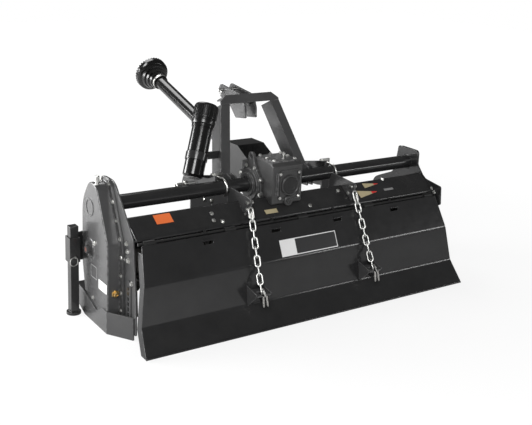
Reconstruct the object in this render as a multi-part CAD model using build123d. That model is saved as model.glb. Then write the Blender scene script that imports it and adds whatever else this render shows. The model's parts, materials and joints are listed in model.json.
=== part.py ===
"""Rear-mounted rotary tiller with a side chain drive, millimetres, +X right, +Y towards the tractor, +Z up."""
from build123d import *
import math
import os

os.makedirs("parts", exist_ok=True)

# ---- driving dimensions ------------------------------------------------------------------
HALF_INNER = 917.0        # hood inside half width
PLATE = 8.0               # side plate thickness
SHEET = 4.0               # hood and door sheet thickness
TUBE_Z = 602.0            # top tube axis height
TUBE_R = 37.0             # top tube outer radius
ROTOR_Y = 20.0            # rotor axis, forward of the tube axis
ROTOR_Z = 228.0           # rotor axis height
TINE_R = 216.0            # radius of the tine tips
SHAFT_R = 38.0            # rotor tube radius
STUB_R = 22.0             # rotor end journal radius
FIT = 0.05                # radial running clearance
FLANGE_COUNT = 8          # tine flanges on the rotor
FLANGE_R = 95.0           # tine flange radius
TINES_PER_FLANGE = 6
HINGE_Y = -243.0          # door hinge axis
HINGE_Z = 470.0
HINGE_R = 7.0             # door hinge rod radius
DOOR_CLEAR = 13.0         # door edge to side plate at the hinge
DOOR_FLARE = 68.0         # how much further the door's lower edge reaches on each side
HITCH_X = -20.0           # middle of the hitch, mast and input shaft
HITCH_HALF = 345.0        # lower hitch arms from the hitch middle
HITCH_PIN_Y = 300.0       # lower hitch pin position
HITCH_PIN_Z = 548.0
HITCH_PIN_R = 11.0        # category 1 lower pin radius
MAST_HEIGHT = 457.0       # category 1 lower pin to top pin
TOP_HOLE_R = 9.7          # hole for the category 1 top pin, 19 mm
MAST_HALF_TOP = 184.0     # outer half width of the mast at its top
MAST_HALF_BASE = 272.0    # outer half width of the mast at its base
CASE_DEPTH = 77.0         # how far the chain case stands out from the left plate
STAND_OUT = 50.0          # parking stand leg axis, outboard of the chain case
STAND_Y = 185.0
STAND_SIDE = 42.0         # parking stand square tube
CHAIN_WIRE = 4.5          # chain link wire radius
PTO_ANGLE = 16.0          # driveline angle above level
PTO_LENGTH = 1180.0       # driveline length between its two cross centres

HALF_OUTER = HALF_INNER + PLATE
DOOR_HALF_TOP = HALF_INNER - DOOR_CLEAR
DOOR_HALF_BOTTOM = DOOR_HALF_TOP + DOOR_FLARE
CASE_FACE_X = -HALF_OUTER - CASE_DEPTH
STAND_X = CASE_FACE_X - STAND_OUT
TUBE = (0.0, TUBE_Z)
ROTOR = (ROTOR_Y, ROTOR_Z)
X_AXIS = Vector(1, 0, 0)

NODES = {}


def put(name, shape):
    """Keep a finished sub-part under its node name."""
    NODES[name] = shape
    return shape


# ---- shape helpers -----------------------------------------------------------------------
def face(points):
    return make_face(Polyline(*[tuple(p) for p in points], close=True))


def slab_x(outline, x0, x1):
    """Extrude a (y, z) outline or sketch along X."""
    sketch = outline if hasattr(outline, "wrapped") else face(outline)
    return extrude(Plane.YZ.offset(x0) * sketch, amount=x1 - x0)


def slab_y(outline, y0, y1):
    """Extrude an (x, z) outline or sketch along Y."""
    sketch = outline if hasattr(outline, "wrapped") else face(outline)
    return extrude(Plane.XZ.offset(-y0) * sketch, amount=-(y1 - y0))


def slab_z(outline, z0, z1):
    """Extrude an (x, y) outline or sketch along Z."""
    sketch = outline if hasattr(outline, "wrapped") else face(outline)
    return extrude(Plane.XY.offset(z0) * sketch, amount=z1 - z0)


def box(x0, x1, y0, y1, z0, z1):
    return Pos((x0 + x1) / 2, (y0 + y1) / 2, (z0 + z1) / 2) * Box(x1 - x0, y1 - y0, z1 - z0)


def rod(start, end, radius):
    """A round bar between two points."""
    start, end = Vector(*start), Vector(*end)
    return extrude(Plane(origin=start, z_dir=end - start) * Circle(radius), amount=(end - start).length)


def disc_x(x0, x1, radius, centre):
    return rod((x0, *centre), (x1, *centre), radius)


def circle_at(radius, centre):
    return Pos(*centre) * Circle(radius)


def rounded(outline, radius):
    """An outline with every corner rounded by one radius."""
    sketch = face(outline)
    return fillet(sketch.vertices(), radius)


def bent_sheet(points, thickness):
    """A closed outline that follows an open bent profile at a constant thickness."""
    steps = [Vector(*b) - Vector(*a) for a, b in zip(points, points[1:])]
    normals = [Vector(-s.Y, s.X).normalized() for s in steps]
    inner = []
    for i, point in enumerate(points):
        before = normals[max(i - 1, 0)]
        after = normals[min(i, len(normals) - 1)]
        mid = (before + after).normalized()
        shift = mid * (thickness / mid.dot(before))
        inner.append((point[0] + shift.X, point[1] + shift.Y))
    return list(points) + inner[::-1]


# ---- top tube ----------------------------------------------------------------------------
GEARBOX_X0, GEARBOX_X1 = -148.0, 34.0
GEARBOX_Y0, GEARBOX_Y1 = -185.0, 110.0
GEARBOX_Z0, GEARBOX_Z1 = 532.0, 744.0
HUB_STEPS = [(14.0, 98.0), (12.0, 82.0), (12.0, 60.0)]    # left bearing housing: width, radius
BOSS_STEPS = [(14.0, 92.0), (14.0, 62.0)]                 # right bearing housing: width, radius
HUB_END = GEARBOX_X0 - sum(width for width, radius in HUB_STEPS)
BOSS_END = GEARBOX_X1 + sum(width for width, radius in BOSS_STEPS)
END_FLANGE = 12.0
END_FLANGE_SIDE = 156.0

put("top_tube", Compound([disc_x(-HALF_OUTER, HUB_END, TUBE_R, TUBE), disc_x(BOSS_END, HALF_OUTER, TUBE_R, TUBE)]))
end_square = Pos(*TUBE) * RectangleRounded(END_FLANGE_SIDE, END_FLANGE_SIDE, 22.0)
put("tube_end_flange", slab_x(end_square, HALF_OUTER, HALF_OUTER + END_FLANGE))

# ---- hood --------------------------------------------------------------------------------
LIP_Y, LIP_LOW, LIP_HIGH = -231.0, 478.0, 492.0
HOOD_FRONT = 325.0
HOOD_PROFILE = [  # y, z of the outer surface, from the rear lip over the ridge to the front edge
    (LIP_Y, LIP_LOW), (LIP_Y, LIP_HIGH), (-120.0, 563.0), (100.0, 470.0), (230.0, 400.0), (310.0, 270.0),
    (HOOD_FRONT, 150.0),
]
hood_outline = bent_sheet(HOOD_PROFILE[::-1], SHEET)
put("hood_shell", slab_x(hood_outline, -HALF_INNER, HALF_INNER))
under_hood = slab_x(HOOD_PROFILE + [(HOOD_FRONT, 0.0), (LIP_Y, 0.0)], -HALF_INNER, HALF_INNER)

PLATE_FRONT = [  # y, z, corner radius
    (275.0, 440.0, 60.0), (330.0, 270.0, 60.0), (335.0, 140.0, 60.0), (290.0, 60.0, 30.0), (240.0, 24.0, 20.0),
]
LEFT_PLATE = [  # y, z, corner radius
    (-248.0, 24.0, 8.0), (-246.0, 208.0, 40.0), (-214.0, 487.0, 40.0), (-10.0, 712.0, 90.0), (125.0, 712.0, 90.0),
    (215.0, 590.0, 60.0), *PLATE_FRONT,
]
RIGHT_PLATE = [  # y, z, corner radius
    (-248.0, 24.0, 8.0), (-242.0, 208.0, 40.0), (-232.0, 388.0, 8.0), (-293.0, 420.0, 10.0), (-285.0, 521.0, 12.0),
    (-148.0, 539.0, 60.0), (-92.0, 600.0, 40.0), (-80.0, 680.0, 14.0), (80.0, 680.0, 14.0), (92.0, 600.0, 30.0),
    (113.0, 515.0, 40.0), (233.0, 462.0, 30.0), *PLATE_FRONT,
]


def corners(table):
    """An outline from (a, b, radius) rows, each corner rounded by its own radius."""
    sketch = face([row[:2] for row in table])
    for a, b, radius in table:
        near = min(sketch.vertices(), key=lambda v: math.hypot(v.X - a, v.Y - b))
        sketch = fillet(near, radius)
    return sketch


tube_hole = circle_at(TUBE_R, TUBE)
BUSH_R = STUB_R + 12.0    # outside of the bushes that carry the rotor's journals
rotor_hole = circle_at(BUSH_R, ROTOR)
left_sketch = corners(LEFT_PLATE) - tube_hole - rotor_hole
right_sketch = corners(RIGHT_PLATE) - tube_hole - rotor_hole
put("side_plate_left", slab_x(left_sketch, -HALF_OUTER, -HALF_INNER))
put("side_plate_right", slab_x(right_sketch, HALF_INNER, HALF_OUTER))

# ---- chain case --------------------------------------------------------------------------
CASE_FLANGE = 12.0
CASE_WALL = 5.0
CASE_RIM = 22.0
CASE_OUTLINE = [  # y, z, corner radius of the outer face
    (-103.0, 60.0, 45.0), (-104.0, 430.0, 60.0), (26.0, 694.0, 52.0), (108.0, 694.0, 74.0),
    (188.0, 585.0, 180.0), (194.0, 267.0, 120.0), (150.0, 60.0, 60.0),
]
case_sketch = corners(CASE_OUTLINE)
case_inner = offset(case_sketch, amount=-CASE_WALL)
case_rim = offset(case_sketch, amount=CASE_RIM)
cover = slab_x(case_sketch, CASE_FACE_X, -HALF_OUTER - CASE_FLANGE)
cover -= slab_x(case_inner, CASE_FACE_X + CASE_WALL, -HALF_OUTER - CASE_FLANGE)
BOSS_AT = (93.0, 358.0)   # y, z of the filler boss on the cover
BOSS_R = 50.0
BOSS_HEIGHT = 6.0
cover += disc_x(CASE_FACE_X - BOSS_HEIGHT, CASE_FACE_X, BOSS_R, BOSS_AT)
cover -= disc_x(CASE_FACE_X - BOSS_HEIGHT, CASE_FACE_X - 1.0, BOSS_R - BOSS_HEIGHT, BOSS_AT)
put("chain_case_cover", cover)
case_bottom = slab_x(case_rim - rotor_hole, -HALF_OUTER - CASE_FLANGE, -HALF_OUTER)
put("chain_case_flange", case_bottom)
bearing_ring = disc_x(-HALF_OUTER - CASE_FLANGE, -HALF_INNER, BUSH_R, ROTOR)
bearing_ring -= disc_x(-HALF_OUTER - CASE_FLANGE, -HALF_INNER, STUB_R + FIT, ROTOR)
BEARING_DEPTH = 42.0      # right bearing housing, outboard of its plate
BEARING_R = 48.0
BEARING_FLANGE_R = 75.0
BEARING_COVER = 8.0
housing = disc_x(HALF_OUTER, HALF_OUTER + END_FLANGE, BEARING_FLANGE_R, ROTOR)
housing += disc_x(HALF_OUTER, HALF_OUTER + BEARING_DEPTH, BEARING_R, ROTOR)
housing += disc_x(HALF_INNER, HALF_OUTER, BUSH_R, ROTOR)
housing -= disc_x(HALF_INNER, HALF_OUTER + BEARING_DEPTH - BEARING_COVER, STUB_R + FIT, ROTOR)
put("rotor_bearings", Compound([bearing_ring, housing]))

# ---- skids -------------------------------------------------------------------------------
SKID_T = 8.0
SKID_REAR = -235.0
SKID_NOSE = (300.0, 112.0)
SKID_SOLE = [(SKID_REAR, 0.0), (150.0, 0.0), (230.0, 30.0), SKID_NOSE]  # y, z of the underside
SKID_OUT = 77.0           # how far the left skid reaches outboard of its plate, round the case
SKID_TURN = -112.0        # y where the guard's outer panel turns in towards the plate
SKID_HIGH = 200.0         # above every part of a skid
GUARD_TOP = 112.0
RIGHT_SOLE = 60.0         # width of the right sole
skid_x = -HALF_OUTER - SKID_OUT
sole = bent_sheet(SKID_SOLE, SKID_T)
plan = [(-HALF_OUTER, SKID_REAR), (-HALF_OUTER - SKID_T, SKID_REAR), (skid_x - SKID_T, SKID_TURN),
        (skid_x - SKID_T, HOOD_FRONT), (-HALF_OUTER, HOOD_FRONT)]
left_sole = slab_x(sole, skid_x - SKID_T, -HALF_OUTER) & slab_z(plan, 0.0, SKID_HIGH)
guard_outline = [  # y, z
    (SKID_TURN, 0.0), *SKID_SOLE[1:], (262.0, 132.0), (120.0, 108.0), (60.0, 92.0), (13.0, 74.0), (-36.0, 100.0),
    (-60.0, GUARD_TOP), (SKID_TURN, GUARD_TOP),
]
left_guard = slab_x(guard_outline, skid_x - SKID_T, skid_x)
guard_turn = [(skid_x, SKID_TURN), (skid_x - SKID_T, SKID_TURN), (-HALF_OUTER - SKID_T, SKID_REAR),
              (-HALF_OUTER, SKID_REAR), (-HALF_OUTER, SKID_REAR + SKID_T)]
left_turn = slab_z(guard_turn, 0.0, GUARD_TOP)
case_relief = slab_x(case_rim, -HALF_OUTER - CASE_FLANGE, -HALF_OUTER)
left_skid = left_sole + left_guard + left_turn
put("skid_left", left_skid - case_relief - NODES["chain_case_cover"])
right_sole = slab_x(sole, HALF_OUTER, HALF_OUTER + RIGHT_SOLE)
right_web = slab_x([(SKID_REAR, 0.0), *SKID_SOLE[1:], (SKID_REAR, SKID_NOSE[1])], HALF_OUTER, HALF_OUTER + SKID_T)
put("skid_right", right_sole + right_web)

# ---- gearbox -----------------------------------------------------------------------------
GEARBOX_PROFILE = [  # y, z of the casting, corner radius
    (GEARBOX_Y0, GEARBOX_Z0, 12.0), (GEARBOX_Y0, 730.0, 12.0), (-168.0, GEARBOX_Z1, 10.0), (-4.0, GEARBOX_Z1, 16.0),
    (30.0, 704.0, 20.0), (GEARBOX_Y1, 704.0, 14.0), (GEARBOX_Y1, GEARBOX_Z0, 12.0),
]
GEARBOX_FILLET = 8.0
COVER_T = 7.0             # thickness of the bolted top cover
COVER_INSET = 16.0
COVER_Y = (-162.0, -10.0)
LOBES, LOBE_R = 8, 15.0   # bolt lobes round the left bearing flange
RIB_THICK, RIB_STAND = 9.0, 12.0
gearbox_mid = (GEARBOX_X0 + GEARBOX_X1) / 2
casting = slab_x(corners(GEARBOX_PROFILE), GEARBOX_X0, GEARBOX_X1)
casting = fillet(casting.faces().sort_by(Axis.X)[0].edges() + casting.faces().sort_by(Axis.X)[-1].edges(),
                 GEARBOX_FILLET)
cover_plan = Pos(gearbox_mid, sum(COVER_Y) / 2) * RectangleRounded(
    GEARBOX_X1 - GEARBOX_X0 - 2 * COVER_INSET, COVER_Y[1] - COVER_Y[0], 18.0)
casting += slab_z(cover_plan, GEARBOX_Z1, GEARBOX_Z1 + COVER_T)
x_rim = GEARBOX_X1
for width, radius in BOSS_STEPS:
    casting += disc_x(x_rim, x_rim + width, radius, TUBE)
    x_rim += width
for x_rib in (GEARBOX_X0 + 28.0, GEARBOX_X1 - 20.0):
    casting += box(x_rib - RIB_THICK / 2, x_rib + RIB_THICK / 2, GEARBOX_Y0 - RIB_STAND, GEARBOX_Y0,
                   GEARBOX_Z0 + 50.0, 695.0)
put("gearbox_housing", casting - under_hood)
hub, x_rim = None, GEARBOX_X0
for width, radius in HUB_STEPS:
    ring = disc_x(x_rim - width, x_rim, radius, TUBE)
    hub = ring if hub is None else hub + ring
    x_rim -= width
flange_width, flange_radius = HUB_STEPS[0]
for k in range(LOBES):
    turn = math.radians(360.0 / LOBES * (k + 0.5))
    lobe_at = (flange_radius * math.cos(turn), TUBE_Z + flange_radius * math.sin(turn))
    hub += disc_x(GEARBOX_X0 - flange_width, GEARBOX_X0, LOBE_R, lobe_at)
EYE_Z = 746.0             # hole of the lifting eye
EYE_HOLE_R = 11.0
EYE_T = 14.0
EYE_OUTLINE = [(-64.0, 672.0, 10.0), (64.0, 672.0, 10.0), (34.0, 716.0, 14.0), (20.0, EYE_Z + 24.0, 19.0),
               (-20.0, EYE_Z + 24.0, 19.0), (-34.0, 716.0, 14.0)]   # y, z, corner radius
eye_plate = slab_x(corners(EYE_OUTLINE) - circle_at(EYE_HOLE_R, (0.0, EYE_Z)), GEARBOX_X0 - EYE_T, GEARBOX_X0)
put("gearbox_hub", hub + eye_plate - under_hood)
CAP_DEPTH = 10.0
CAP_RIM = 44.0            # radius of the round rear cap
CAP_AT = (-46.0, 629.0)   # x, z of the rear cap
cap = rod((CAP_AT[0], GEARBOX_Y0, CAP_AT[1]), (CAP_AT[0], GEARBOX_Y0 - CAP_DEPTH, CAP_AT[1]), CAP_RIM)
put("gearbox_rear_cap", cap)
INPUT_Z = 612.0           # input shaft axis height
INPUT_R = 17.5            # input shaft radius
COLLAR_R, COLLAR_DEPTH = 55.0, 25.0
INPUT_END_Y = GEARBOX_Y1 + 90.0
collar = rod((HITCH_X, GEARBOX_Y1, INPUT_Z), (HITCH_X, GEARBOX_Y1 + COLLAR_DEPTH, INPUT_Z), COLLAR_R)
collar += rod((HITCH_X, GEARBOX_Y1, INPUT_Z), (HITCH_X, INPUT_END_Y, INPUT_Z), INPUT_R)
put("input_shaft", collar)

# ---- input shield ------------------------------------------------------------------------
SHIELD_HALF = 84.0
SHIELD_T = 4.0
SHIELD_CLEAR = 3.0        # round the input collar
SHIELD_LOW = 555.0
SHIELD_PROFILE = [(GEARBOX_Y1, 690.0), (225.0, 748.0), (345.0, 748.0)]   # y, z of its top, from the gearbox forward
shield_side = SHIELD_PROFILE + [(SHIELD_PROFILE[-1][0], SHIELD_LOW), (GEARBOX_Y1, SHIELD_LOW)]
shield = slab_x(bent_sheet(SHIELD_PROFILE[::-1], SHIELD_T), -SHIELD_HALF, SHIELD_HALF)
for side in (-1, 1):
    x_wall = side * (SHIELD_HALF - SHIELD_T)
    shield += slab_x(shield_side, min(x_wall, side * SHIELD_HALF), max(x_wall, side * SHIELD_HALF))
shield += box(-SHIELD_HALF, SHIELD_HALF, GEARBOX_Y1, GEARBOX_Y1 + SHIELD_T, SHIELD_LOW, SHIELD_PROFILE[0][1])
shield -= rod((0, GEARBOX_Y1, INPUT_Z), (0, GEARBOX_Y1 + SHIELD_T, INPUT_Z), COLLAR_R + SHIELD_CLEAR)
put("input_shield", Pos(HITCH_X, 0, 0) * shield)

# ---- lower hitch arms --------------------------------------------------------------------
ARM_T = 14.0
ARM_OUTLINE = [  # y, z, corner radius
    (0.0, 532.0, 6.0), (0.0, 668.0, 6.0), (60.0, 656.0, 40.0), (330.0, 590.0, 30.0), (345.0, 548.0, 24.0),
    (325.0, 505.0, 24.0), (60.0, 520.0, 40.0),
]
HITCH_PIN_OUT = 62.0      # free length of each lower pin
HITCH_PIN_IN = 20.0       # its threaded end inside the arm
SHOULDER_R, SHOULDER_T = 17.0, 8.0
arm_sketch = corners(ARM_OUTLINE) - tube_hole
hitch_pin_at = (HITCH_PIN_Y, HITCH_PIN_Z)
arms, pins = [], []
for side in (-1, 1):
    x_mid = HITCH_X + side * HITCH_HALF
    arms.append(slab_x(arm_sketch - circle_at(HITCH_PIN_R, hitch_pin_at), x_mid - ARM_T / 2, x_mid + ARM_T / 2))
    x_arm = x_mid + side * ARM_T / 2
    inner_end, outer_end = x_mid - side * (ARM_T / 2 + HITCH_PIN_IN), x_arm + side * (SHOULDER_T + HITCH_PIN_OUT)
    pin = disc_x(min(inner_end, outer_end), max(inner_end, outer_end), HITCH_PIN_R, hitch_pin_at)
    pin += disc_x(min(x_arm, x_arm + side * SHOULDER_T), max(x_arm, x_arm + side * SHOULDER_T), SHOULDER_R,
                  hitch_pin_at)
    pins.append(pin)
put("hitch_arms", Compound(arms))
put("lower_hitch_pins", Compound(pins))

# ---- mast --------------------------------------------------------------------------------
MAST_BASE = (75.0, 636.0)      # y, z of the rear face at the foot
MAST_TOP = (262.0, 1018.0)     # y, z of the rear face at the top
LEG_WEB = 56.0
LEG_DEPTH = 100.0
LEG_T = 8.0
RAIL = 48.0               # height of the cross rail at the top of the mast
RAIL_SIDE, RAIL_CORNER = 14.0, 40.0   # where the rail's cut corners begin
MAST_ROOM = 400.0         # beyond every part of the mast
mast_rise = MAST_TOP[1] - MAST_BASE[1]
mast_run = MAST_TOP[0] - MAST_BASE[0]
mast_slope = math.degrees(math.atan2(mast_run, mast_rise))
mast_length = math.hypot(mast_run, mast_rise)
mast_plane = Plane(origin=(HITCH_X, MAST_BASE[0], MAST_BASE[1]), x_dir=(1, 0, 0),
                   z_dir=(0, -math.cos(math.radians(mast_slope)), math.sin(math.radians(mast_slope))))


def mast_slab(points, depth0, depth1):
    """Extrude an outline drawn in the mast's rear face, from depth0 to depth1 ahead of it."""
    return extrude(mast_plane.offset(-depth0) * face(points), amount=-(depth1 - depth0))


def leg_points(side, inset):
    """The outline of a leg seen from behind, drawn in by inset from its edges."""
    lean = (MAST_HALF_BASE - MAST_HALF_TOP) / (mast_length - RAIL)
    top = mast_length - RAIL
    return [(side * (MAST_HALF_BASE - inset), 0), (side * (MAST_HALF_BASE - LEG_WEB + inset), 0),
            (side * (MAST_HALF_BASE - LEG_WEB + inset - lean * top), top),
            (side * (MAST_HALF_BASE - inset - lean * top), top)]


mast_legs = [mast_slab(leg_points(side, 0), 0, LEG_DEPTH) - mast_slab(leg_points(side, LEG_T), LEG_T, LEG_DEPTH)
             for side in (-1, 1)]
rail_low, rail_high = mast_length - RAIL, mast_length
rail_flat = MAST_HALF_TOP - RAIL_CORNER
rail = mast_slab([(-MAST_HALF_TOP, rail_low), (MAST_HALF_TOP, rail_low), (MAST_HALF_TOP, rail_low + RAIL_SIDE),
                  (rail_flat, rail_high), (-rail_flat, rail_high), (-MAST_HALF_TOP, rail_low + RAIL_SIDE)], 0, LEG_T)
rail += mast_slab([(-rail_flat, rail_high - LEG_T), (rail_flat, rail_high - LEG_T), (rail_flat, rail_high),
                   (-rail_flat, rail_high)], 0, LEG_DEPTH)

# ---- mast feet on the tube ---------------------------------------------------------------
FOOT_OUTLINE = [(0.0, 545.0), (0.0, 650.0), (40.0, 660.0), MAST_BASE, (171.0, 594.0), (150.0, 560.0),
                (60.0, 540.0)]  # y, z
feet = []
for side, leg in zip((-1, 1), mast_legs):
    x_outer = HITCH_X + side * (MAST_HALF_BASE - LEG_T)
    x_inner = HITCH_X + side * (MAST_HALF_BASE - LEG_WEB + LEG_T)
    low, high = min(x_outer, x_inner), max(x_outer, x_inner)
    foot = slab_x(face(FOOT_OUTLINE) - tube_hole, low, high) - slab_x(face(FOOT_OUTLINE), low + LEG_T, high - LEG_T)
    feet.append(leg + foot)
put("mast_legs", Compound(feet))

# ---- top link clevis ---------------------------------------------------------------------
TOP_PIN_Y = 468.0
TOP_PIN_Z = HITCH_PIN_Z + MAST_HEIGHT
CLEVIS_GAP = 54.0
CLEVIS_T = 12.0
CLEVIS_OUTLINE = [  # y, z, corner radius
    (230.0, 890.0, 8.0), (325.0, 876.0, 14.0), (384.0, 930.0, 40.0), (485.0, 962.0, 20.0), (512.0, 1004.0, 20.0),
    (492.0, 1034.0, 14.0), (300.0, 1014.0, 20.0), (240.0, 1000.0, 8.0),
]
behind_rail = mast_slab([(-MAST_ROOM, 0), (MAST_ROOM, 0), (MAST_ROOM, 2 * MAST_ROOM), (-MAST_ROOM, 2 * MAST_ROOM)],
                        -MAST_ROOM, LEG_T)
clevis_half = CLEVIS_GAP / 2 + CLEVIS_T
clevis_sketch = corners(CLEVIS_OUTLINE) - circle_at(TOP_HOLE_R, (TOP_PIN_Y, TOP_PIN_Z))
cheeks = []
for side in (-1, 1):
    x_near, x_far = HITCH_X + side * CLEVIS_GAP / 2, HITCH_X + side * clevis_half
    cheeks.append(slab_x(clevis_sketch, min(x_near, x_far), max(x_near, x_far)) - behind_rail)
clevis_room = slab_x(corners(CLEVIS_OUTLINE), HITCH_X - clevis_half, HITCH_X + clevis_half)
put("mast_rail", rail - (clevis_room - behind_rail))
put("top_link_clevis", Compound(cheeks))

# ---- tube clamps -------------------------------------------------------------------------
CLAMP_WIRE = 6.0
CLAMP_PLATE = (60.0, 70.0)     # y range of the strap the clamp legs pass through
CLAMP_CLEAR = 1.0              # strap to hitch arm and to mast
CLAMP_TAIL = 16.0              # thread that stands out of the strap
STRAP_RISE = 60.0
clamp_major = TUBE_R + CLAMP_WIRE
strap_half = (HITCH_HALF - ARM_T / 2 - MAST_HALF_BASE) / 2 - CLAMP_CLEAR
CLAMP_X = (HITCH_X - (HITCH_HALF - ARM_T / 2 + MAST_HALF_BASE) / 2,
           HITCH_X + HITCH_HALF + ARM_T / 2 + CLAMP_CLEAR + strap_half)
clamps = []
for x_mid in CLAMP_X:
    ring = Pos(x_mid, 0, TUBE_Z) * Rot(0, 90, 0) * Torus(clamp_major, CLAMP_WIRE)
    ring &= box(x_mid - 2 * CLAMP_WIRE, x_mid + 2 * CLAMP_WIRE, -2 * TUBE_R, 0.0, TUBE_Z - 2 * TUBE_R,
                TUBE_Z + 2 * TUBE_R)
    for z in (TUBE_Z - clamp_major, TUBE_Z + clamp_major):
        ring += rod((x_mid, 0, z), (x_mid, CLAMP_PLATE[1] + CLAMP_TAIL, z), CLAMP_WIRE)
    clamps.append(ring + box(x_mid - strap_half, x_mid + strap_half, *CLAMP_PLATE, TUBE_Z - STRAP_RISE,
                             TUBE_Z + STRAP_RISE))
put("tube_clamps", Compound(clamps))

# ---- hood brackets with the chain anchors ------------------------------------------------
ANCHOR = (-222.0, 582.0)   # y, z of the hole that holds each chain
ANCHOR_T = 8.0
ANCHOR_R = 20.0            # round end of the anchor plate
ANCHOR_PIN_R = 6.0         # shackle pin of each chain
ANCHOR_X = {"left": -305.0, "right": 340.0}
BRACKET_X = {"left": (-520.0, -290.0), "right": (285.0, 420.0)}
BRACKET_LOW = 480.0
SADDLE_Y = (-22.0, -12.0)
ANCHOR_OUTLINE = [(-206.0, BRACKET_LOW), (-239.0, 570.0), (-233.0, 600.0), (-60.0, 612.0), (SADDLE_Y[1], 600.0),
                  (SADDLE_Y[1], BRACKET_LOW)]  # y, z
anchor_sketch = face(ANCHOR_OUTLINE) + circle_at(ANCHOR_R, ANCHOR) - circle_at(ANCHOR_PIN_R + FIT, ANCHOR)
tube_solid = disc_x(-HALF_OUTER, HALF_OUTER, TUBE_R, TUBE)
brackets = []
for name, (x0, x1) in BRACKET_X.items():
    x_mid = ANCHOR_X[name]
    saddle = box(x0, x1, *SADDLE_Y, BRACKET_LOW, TUBE_Z)
    gusset = slab_x(anchor_sketch, x_mid - ANCHOR_T / 2, x_mid + ANCHOR_T / 2)
    brackets.append((saddle + gusset) - under_hood - tube_solid - NODES["hitch_arms"] - NODES["tube_clamps"])
put("hood_brackets", Compound([solid for bracket in brackets for solid in bracket.solids()]))

# ---- manual canister ---------------------------------------------------------------------
CAN_R = 54.0
CAN_FOOT = (-436.0, 118.0, 636.0)    # middle of its lower end
CAN_LID = (-290.0, 232.0, 990.0)     # middle of its lid
CAN_LENGTH = 280.0
CAP_LENGTH = 112.0
CAP_OVER = 8.0             # how much wider the cap is
BAND = (90.0, 130.0)       # where the holder's band sits along the canister
BAND_T = 4.0
HOLDER_HALF = 20.0
can_axis = (Vector(*CAN_LID) - Vector(*CAN_FOOT)).normalized()


def on_can(distance):
    """A point on the canister's axis, measured up from its lower end."""
    return tuple(Vector(*CAN_FOOT) + can_axis * distance)


can_solid = rod(on_can(0), on_can(CAN_LENGTH), CAN_R)
put("manual_canister", can_solid)
put("canister_cap", rod(on_can(CAN_LENGTH), on_can(CAN_LENGTH + CAP_LENGTH), CAN_R + CAP_OVER))
band = rod(on_can(BAND[0]), on_can(BAND[1]), CAN_R + BAND_T) - can_solid
band_x, band_y, band_z = on_can((BAND[0] + BAND[1]) / 2)
band_arm = box(band_x, HITCH_X - MAST_HALF_TOP, band_y - BAND_T, band_y + BAND_T, band_z - HOLDER_HALF,
               band_z + HOLDER_HALF)
mast_side = mast_slab([(-MAST_HALF_BASE, 0), (-MAST_HALF_TOP, mast_length - RAIL), (MAST_ROOM, mast_length),
                       (MAST_ROOM, 0)], -MAST_ROOM, MAST_ROOM)
put("canister_bracket", band + (band_arm - mast_side - can_solid))

# ---- parking stand -----------------------------------------------------------------------
STAND_TOP = 455.0
STAND_WALL = 4.0
STAND_TRAVEL = 150.0
SLEEVE_WALL = 5.0
SLEEVE_CLEAR = 0.5
SLEEVE_Z = (272.0, 398.0)
BRACKET_GROWTH = 20.0      # how much the bracket widens towards the plate, up and down
FOOT_R = 36.0
FOOT_T = 14.0


def square(side):
    return Pos(STAND_X, STAND_Y) * Rectangle(side, side)


leg = slab_z(square(STAND_SIDE), FOOT_T, STAND_TOP)
leg -= slab_z(square(STAND_SIDE - 2 * STAND_WALL), FOOT_T, STAND_TOP - STAND_WALL)
put("stand_leg", leg + rod((STAND_X, STAND_Y, 0), (STAND_X, STAND_Y, FOOT_T), FOOT_R))
sleeve_in = STAND_SIDE + 2 * SLEEVE_CLEAR
sleeve_out = sleeve_in + 2 * SLEEVE_WALL
sleeve = slab_z(square(sleeve_out) - square(sleeve_in), *SLEEVE_Z)
arm_y = STAND_Y + sleeve_out / 2
stand_arm = slab_y([(STAND_X - sleeve_out / 2, SLEEVE_Z[0]), (STAND_X - sleeve_out / 2, SLEEVE_Z[1]),
                    (-HALF_OUTER, SLEEVE_Z[1] + BRACKET_GROWTH), (-HALF_OUTER, SLEEVE_Z[0] - BRACKET_GROWTH)],
                   arm_y, arm_y + PLATE)
put("stand_bracket", sleeve + stand_arm - NODES["chain_case_flange"])

# ---- rotor -------------------------------------------------------------------------------
ROTOR_CLEAR = 8.0          # rotor tube end to side plate
JOURNAL_SPARE = 2.0        # journal end to the case
FLANGE_INSET = 92.0        # outer flanges from the rotor tube's ends
FLANGE_T = 10.0
TINE_T = 8.0
TINE_WIDTH = 62.0          # width of the wing at the tip
TINE_ROOT_R = 50.0         # inner end of the shank, on the flange
SHANK_HALF_ANGLE = 14.0
NECK_OVER = 10.0           # the shank starts to sweep this far outside the flange
WING_START, WING_ARC = 8.0, 30.0     # degrees round the rotor
ROW_TWIST = 3.0 / 8.0      # share of a tine pitch that each flange is turned from the one before
rotor_end = HALF_INNER - ROTOR_CLEAR
shaft = disc_x(-rotor_end, rotor_end, SHAFT_R, ROTOR)
shaft += disc_x(-HALF_OUTER - CASE_FLANGE + JOURNAL_SPARE, HALF_OUTER + BEARING_DEPTH - BEARING_COVER - JOURNAL_SPARE,
                STUB_R, ROTOR)
put("rotor_shaft", shaft)
flange_span = 2 * (rotor_end - FLANGE_INSET)
flange_pitch = flange_span / (FLANGE_COUNT - 1)
tine_pitch = 360.0 / TINES_PER_FLANGE


def polar(radius, degrees):
    return (radius * math.cos(math.radians(degrees)), radius * math.sin(math.radians(degrees)))


def wing_outline(inner_r):
    """The wing's section: a curved strip between inner_r and the tip circle."""
    rows = [polar(TINE_R, WING_START + WING_ARC * share) for share in (0.0, 0.5, 1.0)]
    return rows + [polar(inner_r, WING_START + WING_ARC * share) for share in (1.0, 0.5, 0.0)]


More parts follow.
